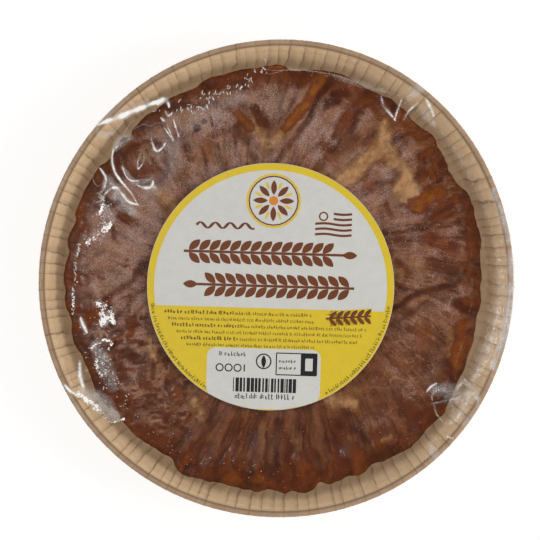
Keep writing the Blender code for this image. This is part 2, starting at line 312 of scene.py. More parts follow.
def keep_on_points(piece, name, kind, channels):
    """Keep values for the points of a turned piece as an attribute; the two points on its axis get none."""
    table = [np.pad(np.ravel(channel), 1) for channel in channels]
    if kind == "FLOAT_COLOR":
        table.append(np.ones(len(table[0])))
    layer = piece.data.attributes.new(name, kind, "POINT")
    layer.data.foreach_set(FIELDS[kind], np.stack(table, axis=-1).astype(np.float32).ravel())


def circle_angles(columns):
    """Return evenly spaced angles once round."""
    return np.arange(columns) * (FULL_TURN / columns)


def blur_rings(values, passes):
    """Smooth a table of rings by columns along both ways; the columns close on themselves."""
    for _ in range(passes):
        values = 0.25 * np.roll(values, 1, axis=1) + 0.5 * values + 0.25 * np.roll(values, -1, axis=1)
        edged = np.vstack((values[:1], values, values[-1:]))
        values = 0.25 * edged[:-2] + 0.5 * edged[1:-1] + 0.25 * edged[2:]
    return values


def surface_of(piece):
    """Return a search tree of a piece's faces, to find where a line meets it."""
    mesh = piece.data
    points = [tuple(vertex.co) for vertex in mesh.vertices]
    faces = [tuple(polygon.vertices) for polygon in mesh.polygons]
    return BVHTree.FromPolygons(points, faces)


def heights_below(tree, x, y, missing):
    """Return how high a surface lies under each spot, or missing where it has nothing there."""
    down = Vector((0.0, 0.0, -1.0))
    start = 2.0 * FILM_HIGH.z
    found = np.full(x.size, missing, dtype=float)
    for index, (across, ahead) in enumerate(zip(x.ravel(), y.ravel())):
        hit = tree.ray_cast(Vector((across, ahead, start)), down)[0]
        if hit is not None:
            found[index] = hit.z
    return found.reshape(x.shape)


def reaches_inward(tree, angles, height):
    """Return how far from the axis a surface lies at each angle, at one height."""
    found = []
    for angle in angles:
        outward = Vector((math.cos(angle), math.sin(angle), 0.0))
        start = 2.0 * TRAY_RADIUS * outward
        start.z = height
        hit = tree.ray_cast(start, -outward)[0]
        found.append(math.hypot(hit.x, hit.y))
    return np.array(found)


# Nodes

class Wire:
    """One output of a node; plain arithmetic on it adds Math nodes."""

    def __init__(self, tree, socket):
        self.tree = tree
        self.socket = socket

    def __add__(self, other):
        return maths("ADD", self, other)

    def __sub__(self, other):
        return maths("SUBTRACT", self, other)

    def __mul__(self, other):
        return maths("MULTIPLY", self, other)

    def rise(self, low, high, result_low=0.0, result_high=1.0):
        """Change smoothly from one result to another while the value goes from low to high."""
        inputs = dict(enumerate((self, low, high, result_low, result_high)))
        return wire(self.tree, "ShaderNodeMapRange", inputs, interpolation_type="SMOOTHSTEP")


def set_inputs(node, inputs):
    """Give inputs of a node their wires or values; a colour may be three numbers."""
    for key, value in inputs.items():
        socket = node.inputs[key]
        if isinstance(value, Wire):
            value.tree.links.new(value.socket, socket)
        elif socket.type == "RGBA":
            socket.default_value = (*value, 1.0)
        else:
            socket.default_value = value


def add_node(tree, kind, inputs=None, **settings):
    """Add a node, apply its settings and give its inputs their wires or values."""
    node = tree.nodes.new(kind)
    for key, value in settings.items():
        setattr(node, key, value)
    set_inputs(node, inputs or {})
    return node


def wire(tree, kind, inputs=None, output=0, **settings):
    """Add a node and return one of its outputs."""
    return Wire(tree, add_node(tree, kind, inputs, **settings).outputs[output])


def maths(operation, *values):
    """Combine numbers or wires with one Math node."""
    tree = next(value.tree for value in values if isinstance(value, Wire))
    return wire(tree, "ShaderNodeMath", dict(enumerate(values)), operation=operation)


def vector_maths(operation, vector, second=None, output=0):
    """Change one vector, or combine it with a second one."""
    inputs = {0: vector} if second is None else {0: vector, 1: second}
    return wire(vector.tree, "ShaderNodeVectorMath", inputs, output, operation=operation)


def scaled(vector, share):
    """Make a vector or a colour longer or shorter."""
    return wire(vector.tree, "ShaderNodeVectorMath", {0: vector, "Scale": share}, operation="SCALE")


def parts_of(vector):
    """Return the three parts of a vector."""
    parts = add_node(vector.tree, "ShaderNodeSeparateXYZ", {"Vector": vector})
    return [Wire(vector.tree, output) for output in parts.outputs]


def join(tree, x=0.0, y=0.0, z=0.0):
    """Return the vector that has these parts."""
    return wire(tree, "ShaderNodeCombineXYZ", {"X": x, "Y": y, "Z": z})


def noise(place, scale, detail=3.0, roughness=0.55, distortion=0.0):
    """Return the value of a noise texture."""
    inputs = {
        "Vector": place, "Scale": scale, "Detail": detail, "Roughness": roughness, "Distortion": distortion,
    }
    return wire(place.tree, "ShaderNodeTexNoise", inputs, "Fac")


def mix(factor, first, second):
    """Mix two colours, each a wire or three numbers."""
    return wire(factor.tree, "ShaderNodeMix", {0: factor, 6: first, 7: second}, 2, data_type="RGBA")


def bump(height, distance, strength):
    """Return the normal of a surface with this height field on it."""
    inputs = {"Height": height, "Distance": distance, "Strength": strength}
    return wire(height.tree, "ShaderNodeBump", inputs)


def attribute(tree, name, output="Fac"):
    """Return what a piece's points hold under a name."""
    return wire(tree, "ShaderNodeAttribute", output=output, attribute_name=name)


def masks_of(tree, name):
    """Return the three masks that a colour attribute holds."""
    parts = add_node(tree, "ShaderNodeSeparateColor", {"Color": attribute(tree, name, "Color")})
    return [Wire(tree, output) for output in parts.outputs]


def new_material(name):
    """Return a material, its Principled shader and each spot's own place on the object, in metres."""
    material = bpy.data.materials.new(name)
    material.use_nodes = True
    tree = material.node_tree
    return material, tree.nodes["Principled BSDF"], wire(tree, "ShaderNodeTexCoord", output="Object")


def new_group(kind, name, inputs, output, output_kind):
    """Start a node group with one output and named inputs of given kinds, and return the inputs' wires."""
    tree = bpy.data.node_groups.new(name, kind)
    for label, input_kind in inputs.items():
        tree.interface.new_socket(label, in_out="INPUT", socket_type=f"NodeSocket{input_kind}")
    tree.interface.new_socket(output, in_out="OUTPUT", socket_type=f"NodeSocket{output_kind}")
    source = tree.nodes.new("NodeGroupInput")
    return tree, [Wire(tree, source.outputs[label]) for label in inputs]


def shared(name, place, values, build):
    """Use a node group, which build makes once from the wires of its place and its values."""
    if name not in bpy.data.node_groups:
        kinds = {"Place": "Vector", **{label: "Float" for label in values}}
        group, given = new_group("ShaderNodeTree", name, kinds, "Result", "Float")
        add_node(group, "NodeGroupOutput", {"Result": build(*given)})
    inputs = {"Place": place, **values}
    return wire(place.tree, "ShaderNodeGroup", inputs, node_tree=bpy.data.node_groups[name])


def mottle(place, scale, fine_scale, fine_share):
    """Soft cloudy variation with a finer layer in it, from 0 to 1."""

    def build(spot, wide, narrow, share):
        coarse = noise(spot, wide, detail=2.0) * maths("SUBTRACT", 1.0, share)
        return (coarse + noise(spot, narrow, detail=4.0, roughness=0.6) * share).rise(0.32, 0.68)

    values = {"Scale": scale, "Fine Scale": fine_scale, "Fine Share": fine_share}
    return shared("soft_mottle", place, values, build)


def specks(place, scale, size, patchiness):
    """Small scattered specks: 1 in the middle of a speck and 0 between them."""

    def build(spot, density, reach, patchy):
        away = wire(spot.tree, "ShaderNodeTexVoronoi", {"Vector": spot, "Scale": density}, "Distance")
        patches = noise(spot, density * 0.12).rise(0.42, 0.62)
        return away.rise(reach, reach * 0.35) * ((patches - 1.0) * patchy + 1.0)

    return shared("scattered_specks", place, {"Scale": scale, "Size": size, "Patchiness": patchiness}, build)


def add_to_scene(name, data):
    """Put a new object in the scene."""
    item = bpy.data.objects.new(name, data)
    bpy.context.scene.collection.objects.link(item)
    return item


def finish_tree(geometry, material):
    """End a geometry tree with real meshes that have their material."""
    real = wire(geometry.tree, "GeometryNodeRealizeInstances", {"Geometry": geometry})
    dressed = wire(geometry.tree, "GeometryNodeSetMaterial", {"Geometry": real, "Material": material})
    add_node(geometry.tree, "NodeGroupOutput", {"Geometry": dressed})


def bake_tree(piece, tree, values):
    """Turn what the tree makes of a piece into its own plain mesh, with no modifier left."""
    modifier = piece.modifiers.new(tree.name, "NODES")
    modifier.node_group = tree
    for item in tree.interface.items_tree:
        if item.name in values:
            modifier[item.identifier] = values[item.name]
    bpy.context.view_layer.update()
    shown = piece.evaluated_get(bpy.context.evaluated_depsgraph_get())
    mesh = bpy.data.meshes.new_from_object(shown)
    mesh.name = piece.name
    piece.modifiers.remove(modifier)
    if piece.type == "MESH":
        piece.data = mesh
        return piece
    name = piece.name
    bpy.data.objects.remove(piece)
    return add_to_scene(name, mesh)


def number(name, description, default, **limits):
    """Return a plain number setting."""
    return FloatProperty(name=name, description=description, default=default, **limits)


def length(name, description, default):
    """Return a length setting, in metres."""
    return number(name, description, default, unit="LENGTH")


def colour_of(name, description, default):
    """Return a colour setting."""
    return FloatVectorProperty(name=name, description=description, subtype="COLOR", default=default)


# Paper tray

TRAY_COLUMNS = 1440
CREASE_FOLD = (0.86, 1.0)
CREASE_MIDDLE = 0.93
CREASE_HALF_WIDTH = 0.060
# Painted shade along the fold lines: half their width, as a share of a pleat
FOLD_LINE_HALF_WIDTH = 0.055
FOLD_LINE_DEPTH = 0.00036
FINE_CREASES_PER_PLEAT = 4.0
FINE_CREASE_DEPTH = 0.00010
# Painted shade over each pleat: where in a pleat it starts and where it is full, just before the fold
PLEAT_SHADE_SPAN = (0.45, 0.95)
# Painted light: the paper glows by emission in place of light that comes through the thin wall; these set
# how the glow grows from the foot to the top
GLOW_LOW = 0.003
GLOW_HIGH = 0.023
GLOW_AT_FOOT = 0.72
# Painted shadow: a dark line painted between the wall and the rolled lip, where the lip's shadow falls
LIP_SHADOW_REACH = -0.00075
LIP_SHADOW_HALF_WIDTH = 0.00062


class TraySettings(bpy.types.PropertyGroup):
    """Sizes and colours of the pleated paper tray."""

    pleats: IntProperty(name="Pleats", description="Number of folds once round the wall", default=120, min=3)
    pleat_depth: length("Pleat Depth", "Step of the paper at each fold", 0.00060)
    pillow_depth: length("Pillow Depth", "Bulge of each panel near the foot", 0.0007)
    lean: number("Lean", "How many pleats a fold drifts sideways from foot to lip", 0.30)
    unevenness: number("Unevenness", "How far folds stray from even spacing, in pleats", 1.25)
    seed: IntProperty(name="Seed", description="Chooses the uneven spacing", default=4)
    paper: colour_of("Paper", "Colour of the kraft paper", (0.60, 0.428, 0.262))
    shade: colour_of("Shade", "Darker tone in the paper", (0.50, 0.342, 0.200))
    lip: colour_of("Lip", "Colour of the rolled lip", (0.37, 0.235, 0.140))
    # Painted light: strength of the emission that stands in for light through the paper
    glow: number("Glow", "Light that comes through the upper wall", 0.36)


def tray_section():
    """Return the tray's section as (radius, height), from the underside's middle to the floor's middle."""
    floor = TRAY_LOW.z + TRAY_PAPER
    inner_base = TRAY_BASE_RADIUS - TRAY_PAPER
    inner_foot = floor + TRAY_CORNER
    inner_top = (WALL_TOP_RADIUS - 0.9 * TRAY_PAPER, WALL_HEAD + 0.0002)
    section = [(radius, TRAY_LOW.z) for radius in (0.020, 0.050, 0.075)]
    section += arc(TRAY_BASE_RADIUS - TRAY_CORNER, WALL_FOOT, TRAY_CORNER, (-90.0, -60.0, -30.0, -5.0))
    section += slope((TRAY_BASE_RADIUS, WALL_FOOT), (WALL_TOP_RADIUS, WALL_HEAD), np.linspace(0.06, 1.0, 11))
    section += arc(LIP_MIDDLE_RADIUS, LIP_MIDDLE_HEIGHT, LIP_RADIUS, np.linspace(-70.0, 205.0, 23))
    section += slope((inner_base, inner_foot), inner_top, np.linspace(1.0, 0.06, 17))
    section += arc(inner_base - TRAY_CORNER, inner_foot, TRAY_CORNER, (-5.0, -30.0, -60.0, -90.0))
    section += [(radius, floor) for radius in (0.075, 0.050, 0.020)]
    return np.array(section)


def pleat_tree(material):
    """Fold a smooth wall into pleats, with a step at each fold, pillows at the foot and fine creases."""
    kinds = {
        "Geometry": "Geometry", "Pleats": "Int", "Pleat Depth": "Float", "Pillow Depth": "Float",
        "Lean": "Float", "Unevenness": "Float", "Seed": "Int",
    }
    tree, given = new_group("GeometryNodeTree", "pleated_wall", kinds, "Geometry", "Geometry")
    geometry, pleats, pleat_depth, pillow_depth, lean, unevenness, seed = given
    x, y, z = parts_of(wire(tree, "GeometryNodeInputPosition"))
    outward = vector_maths("NORMALIZE", join(tree, x, y))
    height = z.rise(TRAY_LOW.z, TRAY_HIGH.z)
    turns = maths("DIVIDE", maths("ARCTAN2", y, x), FULL_TURN)
    around = vector_maths("ADD", outward, join(tree, z=seed))
    drift = noise(around, 9.0, detail=1.0) - 0.5
    wave = maths("SINE", height * (0.8 * FULL_TURN))
    phase = turns * pleats + drift * (unevenness * 2.0) + height * lean + wave * 0.07
    share = maths("FRACT", phase)

    wall = z.rise(TRAY_LOW.z + TRAY_PAPER, TRAY_LOW.z + TRAY_PAPER + 0.0018)
    at_lip = z.rise(WALL_HEAD - 0.0005, WALL_HEAD + 0.0012, 1.0, 0.12)
    step = share - share.rise(*CREASE_FOLD) - 0.43
    away = maths("ABSOLUTE", share - CREASE_MIDDLE)
    line_strength = noise(around, 55.0, detail=2.0).rise(0.38, 0.62, 0.35, 1.0)
    line = away.rise(CREASE_HALF_WIDTH, 0.0) * line_strength
    fullness = noise(around, 30.0, detail=1.0).rise(0.35, 0.65, 0.25, 1.3)
    low = z.rise(PILLOW_HEIGHT, 0.0200, 1.0, 0.35) * at_lip * fullness
    pillow = maths("SINE", share * math.pi) * low * pillow_depth
    fine_share = maths("FRACT", drift * 9.0 + phase * FINE_CREASES_PER_PLEAT)
    fine = maths("ABSOLUTE", fine_share - 0.5).rise(0.22, 0.0)
    fine = fine * noise(around, 90.0, detail=1.0).rise(0.45, 0.6)
    lines = line * at_lip * FOLD_LINE_DEPTH
    offset = step * pleat_depth * at_lip + lines - pillow + fine * FINE_CREASE_DEPTH

    shift = scaled(outward, offset * wall)
    moved = wire(tree, "GeometryNodeSetPosition", {"Geometry": geometry, "Offset": shift})
    turn = (phase - CREASE_MIDDLE) * FULL_TURN
    kept = {
        "fold_turn": ("FLOAT_VECTOR", join(tree, maths("COSINE", turn), maths("SINE", turn), wall)),
        # layers holds painted shade over each pleat, darkest just before the fold; it also dims the painted
        # glow where the paper overlaps
        "layers": ("FLOAT", share.rise(*PLEAT_SHADE_SPAN) * share.rise(1.0, 0.97) * line_strength),
    }
    for name, (kind, value) in kept.items():
        inputs = {"Geometry": moved, "Name": name, "Value": value}
        moved = wire(tree, "GeometryNodeStoreNamedAttribute", inputs, data_type=kind, domain="POINT")
    finish_tree(moved, material)
    return tree


def kraft_material(settings):
    """Pale brown baking paper: cloudy fibre, small flecks, a browner lip, painted shade on the fold lines,
    over each pleat and under the lip, and a painted glow of light through the wall.
    """
    material, shader, place = new_material("kraft_paper")
    tree = place.tree
    cloud = mottle(place, 140.0, 900.0, 0.4)
    stretched = wire(tree, "ShaderNodeMapping", {"Vector": place, "Scale": (900.0, 900.0, 160.0)})
    fibre = noise(stretched, 1.0, detail=2.0).rise(0.52, 0.70)
    lip = attribute(tree, "lip")
    groove = attribute(tree, "groove")
    layers = attribute(tree, "layers")
    fold_x, fold_y, on_wall = parts_of(attribute(tree, "fold_turn", "Vector"))
    away = maths("ABSOLUTE", maths("ARCTAN2", fold_y, fold_x))
    crease = away.rise(FOLD_LINE_HALF_WIDTH * FULL_TURN, 0.0) * on_wall
    colour = mix(cloud * 0.55, settings.paper, settings.shade)
    colour = mix(fibre * 0.14, colour, (0.30, 0.19, 0.10))
    colour = mix(specks(place, 700.0, 0.22, 0.8) * 0.25, colour, (0.66, 0.52, 0.36))
    colour = mix(lip * cloud.rise(0.0, 1.0, 0.65, 1.0), colour, settings.lip)
    # Painted shade over each pleat, darkest just before the fold
    colour = mix(layers * 0.16, colour, (0.35, 0.23, 0.13))
    # Painted shadow of the rolled lip on the top of the wall
    colour = mix(groove * 0.62, colour, (0.17, 0.10, 0.055))
    # Painted shade along the fold lines, stronger on some folds than on others
    strength = noise(place, 190.0, detail=2.0).rise(0.38, 0.62, 0.25, 0.72)
    colour = mix(crease * strength, colour, (0.15, 0.085, 0.045))
    # Painted light: the paper glows in its own colour, more towards the top of the wall, and less where the
    # pleats overlap, on the lip and on the painted lip shadow
    glow = parts_of(place)[2].rise(GLOW_LOW, GLOW_HIGH, GLOW_AT_FOOT * settings.glow, settings.glow)
    glow = glow * layers.rise(0.0, 1.0, 1.0, 0.72)
    glow = glow * maths("MAXIMUM", lip, groove).rise(0.0, 1.0, 1.0, 0.25)
    set_inputs(shader, {
        "Base Color": colour,
        "Emission Color": scaled(colour, glow),
        "Emission Strength": 1.0,
        "Roughness": cloud.rise(0.0, 1.0, 0.50, 0.68),
        "Normal": bump(fibre * 0.5 + noise(place, 1500.0), 0.00012, 0.5),
    })
    return material


def make_tray(settings):
    """Turn the tray's section into a smooth wall, then fold it into pleats."""
    radii, heights = tray_section().T
    angles = circle_angles(TRAY_COLUMNS)
    reach = radii[:, None] + lip_wander(angles) * smooth_step(WALL_FOOT, LIP_MIDDLE_HEIGHT, heights)[:, None]
    kraft = kraft_material(settings)
    piece = turned_piece("paper_tray", turned_rings(reach, heights, angles), (0.0, 0.0), kraft)
    inside = np.arange(len(radii)) > np.argmax(heights)
    away = np.abs(radii - LIP_MIDDLE_RADIUS - LIP_SHADOW_REACH)
    lip = smooth_step(WALL_TOP_RADIUS - 0.0003, WALL_TOP_RADIUS + 0.0004, radii)
    # Where the painted shadow line under the lip lies, on the inside only
    groove = inside * (1.0 - smooth_step(0.2 * LIP_SHADOW_HALF_WIDTH, LIP_SHADOW_HALF_WIDTH, away))
    keep_on_points(piece, "lip", "FLOAT", [np.repeat(lip, TRAY_COLUMNS)])
    keep_on_points(piece, "groove", "FLOAT", [np.repeat(groove, TRAY_COLUMNS)])
    piece = bake_tree(piece, pleat_tree(kraft), {
        "Pleats": settings.pleats,
        "Pleat Depth": settings.pleat_depth,
        "Pillow Depth": settings.pillow_depth,
        "Lean": settings.lean,
        "Unevenness": settings.unevenness,
        "Seed": settings.seed,
    })
    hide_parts("tray")
    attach(piece, BODY)
    return piece


# Cake

CAKE_COLUMNS = 1000
CAKE_EDGE_HEIGHT = 0.0176
CAKE_SIDE_RINGS = 8
CAKE_FIELD_RINGS = 84
CAKE_MIDDLE_RINGS = 5
CAKE_FIELD_START = 0.53
CAKE_FIELD_END = 0.985
CAD_BLUR_PASSES = 9
MARK_WARP = ((0.0080, 0.0010), (0.0026, 0.00036))
MARK_RISE = 0.7
FRAY_SHARE = 0.12
EDGE_SOFTEST = 0.95
THREAD_AROUND = 0.0013
THREAD_ALONG = 0.0120
OCHRE = (0.275, 0.125, 0.040)
DEEP_RED = (0.120, 0.026, 0.009)
# Warmer tone of the pale sugar bloom and painted sheen
WARM_BLOOM_AND_SHEEN = (0.360, 0.190, 0.110)

# A mark on the crust: its ends in the photograph, half its width in millimetres, how soft its edge is, how
# strong its tone is, its rise in millimetres, and for a ring-shaped mark the ring's radius in millimetres
Mark = namedtuple("Mark", "x_px y_px end_x_px end_y_px width edge strength rise ring", defaults=(0.0, 0.0))

# In each tone the marks run from the far side round by the right and the near side to the left
MARKS = {
    "amber": (
        (232, 108, 251, 128, 1.5, 0.8, 1.05, -0.2), (322, 76, 314, 93, 2.2, 0.6, 1.4, -0.2),
        (306, 104, 284, 128, 1.7, 0.7, 1.25, -0.2), (314, 93, 306, 104, 1.9, 0.8, 1.05),
        (212, 84, 262, 66, 2.2, 0.8, 0.65), (265, 65, 312, 65, 1.8, 0.8, 0.8),
        (268, 76, 302, 80, 2.4, 0.9, 0.55), (332, 90, 356, 104, 4.2, 0.8, 0.42),
        (340, 128, 352, 116, 3.2, 0.6, 0.66, -0.25), (360, 102, 370, 98, 2.4, 0.6, 0.75),
        (374, 108, 380, 116, 1.4, 0.7, 0.7), (322, 142, 330, 150, 1.6, 0.8, 0.5),
        (176, 138, 188, 156, 2, 0.9, 0.35), (417, 206, 437, 190, 3, 0.6, 1.15, 0.1),
        (436, 208, 456, 198, 1.6, 0.7, 0.7), (432, 218, 448, 212, 1.4, 0.8, 0.75, 0.1),
        (422, 156, 434, 150, 1.4, 0.6, 0.7, 0.1), (421, 160, 424, 182, 1.9, 0.6, 0.62, 0.1),
        (424, 182, 430, 190, 1.7, 0.6, 0.68), (436, 160, 440, 172, 1.2, 0.7, 0.6),
        (431, 171, 434, 176, 1.2, 0.5, 0.85), (430, 236, 452, 250, 3, 0.8, 0.66, -0.1),
        (472, 216, 474, 256, 2.1, 0.6, 0.72, 0.1), (464, 264, 478, 282, 1.8, 0.6, 0.68),
        (386, 204, 392, 216, 1.3, 0.8, 0.6), (464, 300, 476, 306, 1.5, 0.6, 0.8),
        (460, 330, 478, 322, 2.8, 0.5, 0.95, 0.1), (465, 332, 458, 364, 3, 0.5, 0.95, 0.1),
        (398, 262, 408, 270, 1.4, 0.8, 0.45), (334, 426, 342, 456, 2.8, 0.8, 0.55),
        (372, 436, 386, 430, 2.2, 0.9, 0.55), (398, 398, 420, 424, 2.6, 0.9, 0.4),
        (240, 436, 222, 472, 2.2, 0.6, 0.75, 0.2), (294, 462, 312, 484, 4.2, 0.5, 0.82, 0.2),
        (256, 462, 262, 478, 2, 0.7, 0.62, 0.2), (205, 472, 215, 479, 2.7, 0.6, 0.55, 0.2),
        (176, 458, 200, 464, 2.2, 0.7, 0.62, 0.1), (222, 474, 233, 481, 2.4, 0.6, 0.45, 0.2),
        (330, 458, 350, 466, 2.8, 0.8, 0.5, 0.2), (174, 391, 176, 397, 2.9, 0.25, 0.85, -0.25),
        (109, 344, 117, 334, 2, 0.5, 0.72, 0.2), (104, 396, 112, 406, 2.8, 0.7, 0.55),
        (120, 400, 150, 408, 2.8, 0.8, 0.55), (132, 424, 150, 436, 2.4, 0.8, 0.5),
        (66, 262, 70, 292, 2.4, 0.6, 0.6, 0.2), (77, 275, 83, 283, 2.2, 0.5, 0.62, 0.2),
        (80, 290, 84, 292, 1.1, 0.5, 0.6, 0.1), (72, 304, 82, 308, 2, 0.6, 0.6, 0.1),
        (85, 321, 104, 302, 2.2, 0.5, 0.9, 0.25), (78, 222, 84, 232, 2.2, 0.8, 0.68, 0.1),
        (84, 200, 92, 206, 2, 0.8, 0.6, 0.1), (119, 214, 125, 219, 1.6, 0.5, 0.68),
        (134, 168, 156, 174, 4, 0.8, 0.6), (132, 146, 134, 164, 2.6, 0.8, 0.55),
        (146, 168, 154, 166, 2.2, 0.8, 0.5),
    ),
    "dough": (
        (224, 96, 252, 128, 2.8, 0.8, 0.7), (252, 126, 268, 148, 3, 0.8, 0.8),
        (319, 80, 300, 112, 3, 0.8, 0.7), (301, 110, 268, 148, 3.2, 0.8, 0.8),
        (184, 128, 200, 152, 1.6, 0.9, 0.4), (198, 138, 214, 160, 2.2, 0.9, 0.4),
        (384, 126, 386, 150, 3, 0.6, 0.95, 0.25), (382, 148, 340, 181, 3.4, 0.6, 1.1, 0.3),
        (386, 150, 412, 184, 3.4, 0.5, 0.95, 0.3), (404, 188, 414, 198, 4.4, 0.4, 1.2, 0.3),
        (430, 160, 430, 166, 1.8, 0.7, 0.42, 0.2), (428, 223, 452, 209, 0.7, 0.8, 0.6, 0.35),
        (440, 228, 468, 210, 0.6, 0.8, 0.4, 0.3), (462, 268, 468, 286, 1.8, 0.8, 0.45, 0.1),
        (410, 303, 450, 292, 1.6, 0.9, 0.45, 0.2), (450, 330, 451, 352, 2, 0.8, 0.6, 0.2),
        (393, 256, 400, 274, 3, 0.7, 0.6), (412, 262, 424, 272, 1.9, 0.8, 0.5),
        (330, 398, 352, 404, 3.4, 0.7, 0.95, 0.1), (345, 384, 356, 392, 1.8, 0.9, 0.5),
        (368, 447, 388, 436, 2, 0.8, 0.7, 0.3), (250, 440, 258, 458, 1.6, 0.9, 0.45),
        (292, 430, 300, 462, 1.8, 0.9, 0.45), (206, 420, 214, 446, 1.9, 0.9, 0.4),
        (262, 424, 266, 452, 1.7, 0.9, 0.4), (150, 342, 156, 368, 2.8, 0.7, 0.9),
        (160, 366, 176, 382, 1.8, 0.9, 0.45), (194, 402, 202, 416, 2.6, 0.7, 0.85),
        (104, 248, 118, 258, 1.6, 0.9, 0.35), (86, 270, 90, 274, 1.2, 0.8, 0.35),
        (148, 148, 152, 162, 4, 0.9, 0.4, 0.1), (156, 190, 178, 206, 4.2, 0.8, 0.8),
        (168, 206, 172, 216, 3, 0.9, 0.5),
    ),
    "dark": (
        (283, 88, 270, 136, 2.2, 0.9, 0.45, -0.2), (254, 108, 264, 124, 2.1, 0.5, 0.9),
        (240, 103, 262, 112, 2, 0.8, 0.5), (294, 100, 282, 118, 1.8, 0.7, 0.55),
        (237, 124, 256, 162, 1.3, 0.9, 0.6, -0.4), (330, 78, 309, 116, 1.4, 0.8, 0.75, -0.3),
        (309, 116, 277, 162, 1.4, 0.9, 0.6, -0.4), (300, 72, 332, 76, 1.6, 0.8, 0.6),
        (334, 96, 344, 93, 2, 0.5, 0.9, -0.15), (327, 104, 337, 103, 1.7, 0.5, 0.8, -0.15),
        (362, 112, 352, 132, 1.6, 0.7, 0.7, -0.2), (336, 149, 355, 137, 3.2, 0.9, 0.55, -0.2),
        (195, 127, 195, 127, 1.6, 0.3, 0.95, -0.2), (202, 121, 202, 121, 1.1, 0.35, 0.85, -0.2),
        (209, 117, 211, 124, 0.9, 0.5, 0.85), (170, 106, 190, 101, 1.6, 0.6, 0.75),
        (196, 104, 216, 103, 2, 0.9, 0.6), (372, 172, 396, 206, 3, 1, 0.28, -0.2),
        (424, 222, 450, 205, 1.6, 0.7, 0.55, -0.2), (425, 157, 426, 161, 0.8, 0.4, 1, -0.3),
        (439, 179, 442, 178, 1, 0.3, 1, -0.3), (420, 230, 450, 216, 0.8, 0.8, 0.55, -0.3),
        (432, 262, 456, 272, 2.6, 0.7, 0.75, -0.2), (380, 206, 386, 232, 2, 0.9, 0.45, -0.1),
        (396, 309, 421, 294, 1.5, 0.8, 0.85, -0.35), (421, 294, 455, 284, 1.4, 0.8, 0.8, -0.3),
        (455, 284, 466, 272, 1.2, 0.8, 0.6, -0.2), (400, 322, 430, 302, 0.9, 0.9, 0.55, -0.2),
        (458, 304, 476, 312, 2.4, 0.6, 0.78, -0.1), (448, 362, 454, 382, 2.4, 0.7, 0.65, -0.2),
        (303, 410, 319, 440, 3.4, 0.9, 0.5, -0.2), (364, 465, 400, 452, 2.6, 0.7, 0.8, -0.2),
        (378, 431, 378, 431, 1.3, 0.9, 0.55, -0.2, 6.8), (410, 424, 424, 410, 1.6, 0.9, 0.5),
        (240, 420, 237, 456, 1.2, 0.7, 0.7, -0.2), (276, 420, 277, 466, 1.2, 0.7, 0.7, -0.2),
        (268, 470, 285, 484, 3, 0.6, 0.8, 0.1), (318, 462, 324, 480, 2.4, 0.7, 0.65, -0.1),
        (234, 466, 246, 478, 2.4, 0.6, 0.7), (188, 432, 170, 452, 2, 0.8, 0.6, -0.1),
        (174, 394, 174, 394, 0.5, 0.8, 0.55, -0.1, 4.8), (98, 350, 116, 352, 2.2, 0.8, 0.6),
        (126, 352, 134, 358, 2.2, 0.6, 0.8, -0.15), (137, 362, 144, 361, 1.6, 0.6, 0.8, -0.15),
        (142, 374, 148, 388, 2.2, 0.7, 0.7, -0.15), (120, 366, 126, 382, 2.2, 0.7, 0.7, -0.1),
        (100, 380, 112, 392, 3, 0.8, 0.62, -0.1), (161, 414, 169, 421, 2, 0.6, 0.7, -0.1),
        (178, 426, 186, 432, 1.8, 0.6, 0.7, -0.1), (108, 200, 112, 202, 1.6, 0.4, 0.85),
        (118, 202, 124, 208, 1.4, 0.5, 0.75), (112, 228, 116, 236, 1.4, 0.6, 0.7),
        (148, 262, 131, 280, 1.4, 0.9, 0.6, -0.25), (131, 280, 104, 297, 1.4, 0.9, 0.65, -0.25),
        (149, 284, 118, 312, 1.2, 0.9, 0.5, -0.2), (151, 301, 127, 323, 1, 0.9, 0.5, -0.2),
        (112, 332, 134, 324, 1.8, 0.8, 0.62, -0.1), (104, 250, 86, 262, 1.4, 0.9, 0.35, -0.1),
        (145, 162, 145, 162, 1.3, 0.8, 0.6, -0.25, 8.8), (116, 148, 120, 180, 1.6, 0.8, 0.7, -0.2),
        (130, 122, 150, 116, 2.6, 0.8, 0.6, -0.1),
    ),
    # Places of pale sugar bloom and painted sheen of the film
    "bloom_and_sheen": (
        (276, 86, 274, 124, 5, 0.7, 0.5), (428, 196, 452, 186, 0.6, 0.8, 0.6, 0.2),
        (372, 424, 388, 420, 3, 0.8, 0.45, 0.2),
    ),
}

# Rim of the crust, where the caramel is thickest
# Heading, in degrees, towards which the painted sheen of the film on the crust is strongest
SHEEN_HEADING = 106.0
CALM_HEADING, CALM_SPREAD = 326.0, 48.0
BUSY_HEADING, BUSY_SPREAD = 212.0, 44.0
RIM_START = 0.88
RIM_FULL = 0.985
RIM_LUMP = 0.00042
EDGE_LUMP = 0.00045
# Where the crust swells out furthest: heading and spread in degrees, and reach
EDGE_SWELLS = ((262.0, 38.0, 0.0020), (325.0, 36.0, 0.0014), (136.0, 24.0, 0.0014))
SWELL_START = 0.80
EDGE_LUMP_LENGTH = 0.0052
GATHER_MIDDLE = math.radians(272.0)
GATHER_HALF_SPAN = math.radians(44.0)
GATHER_PITCH = math.radians(7.2)


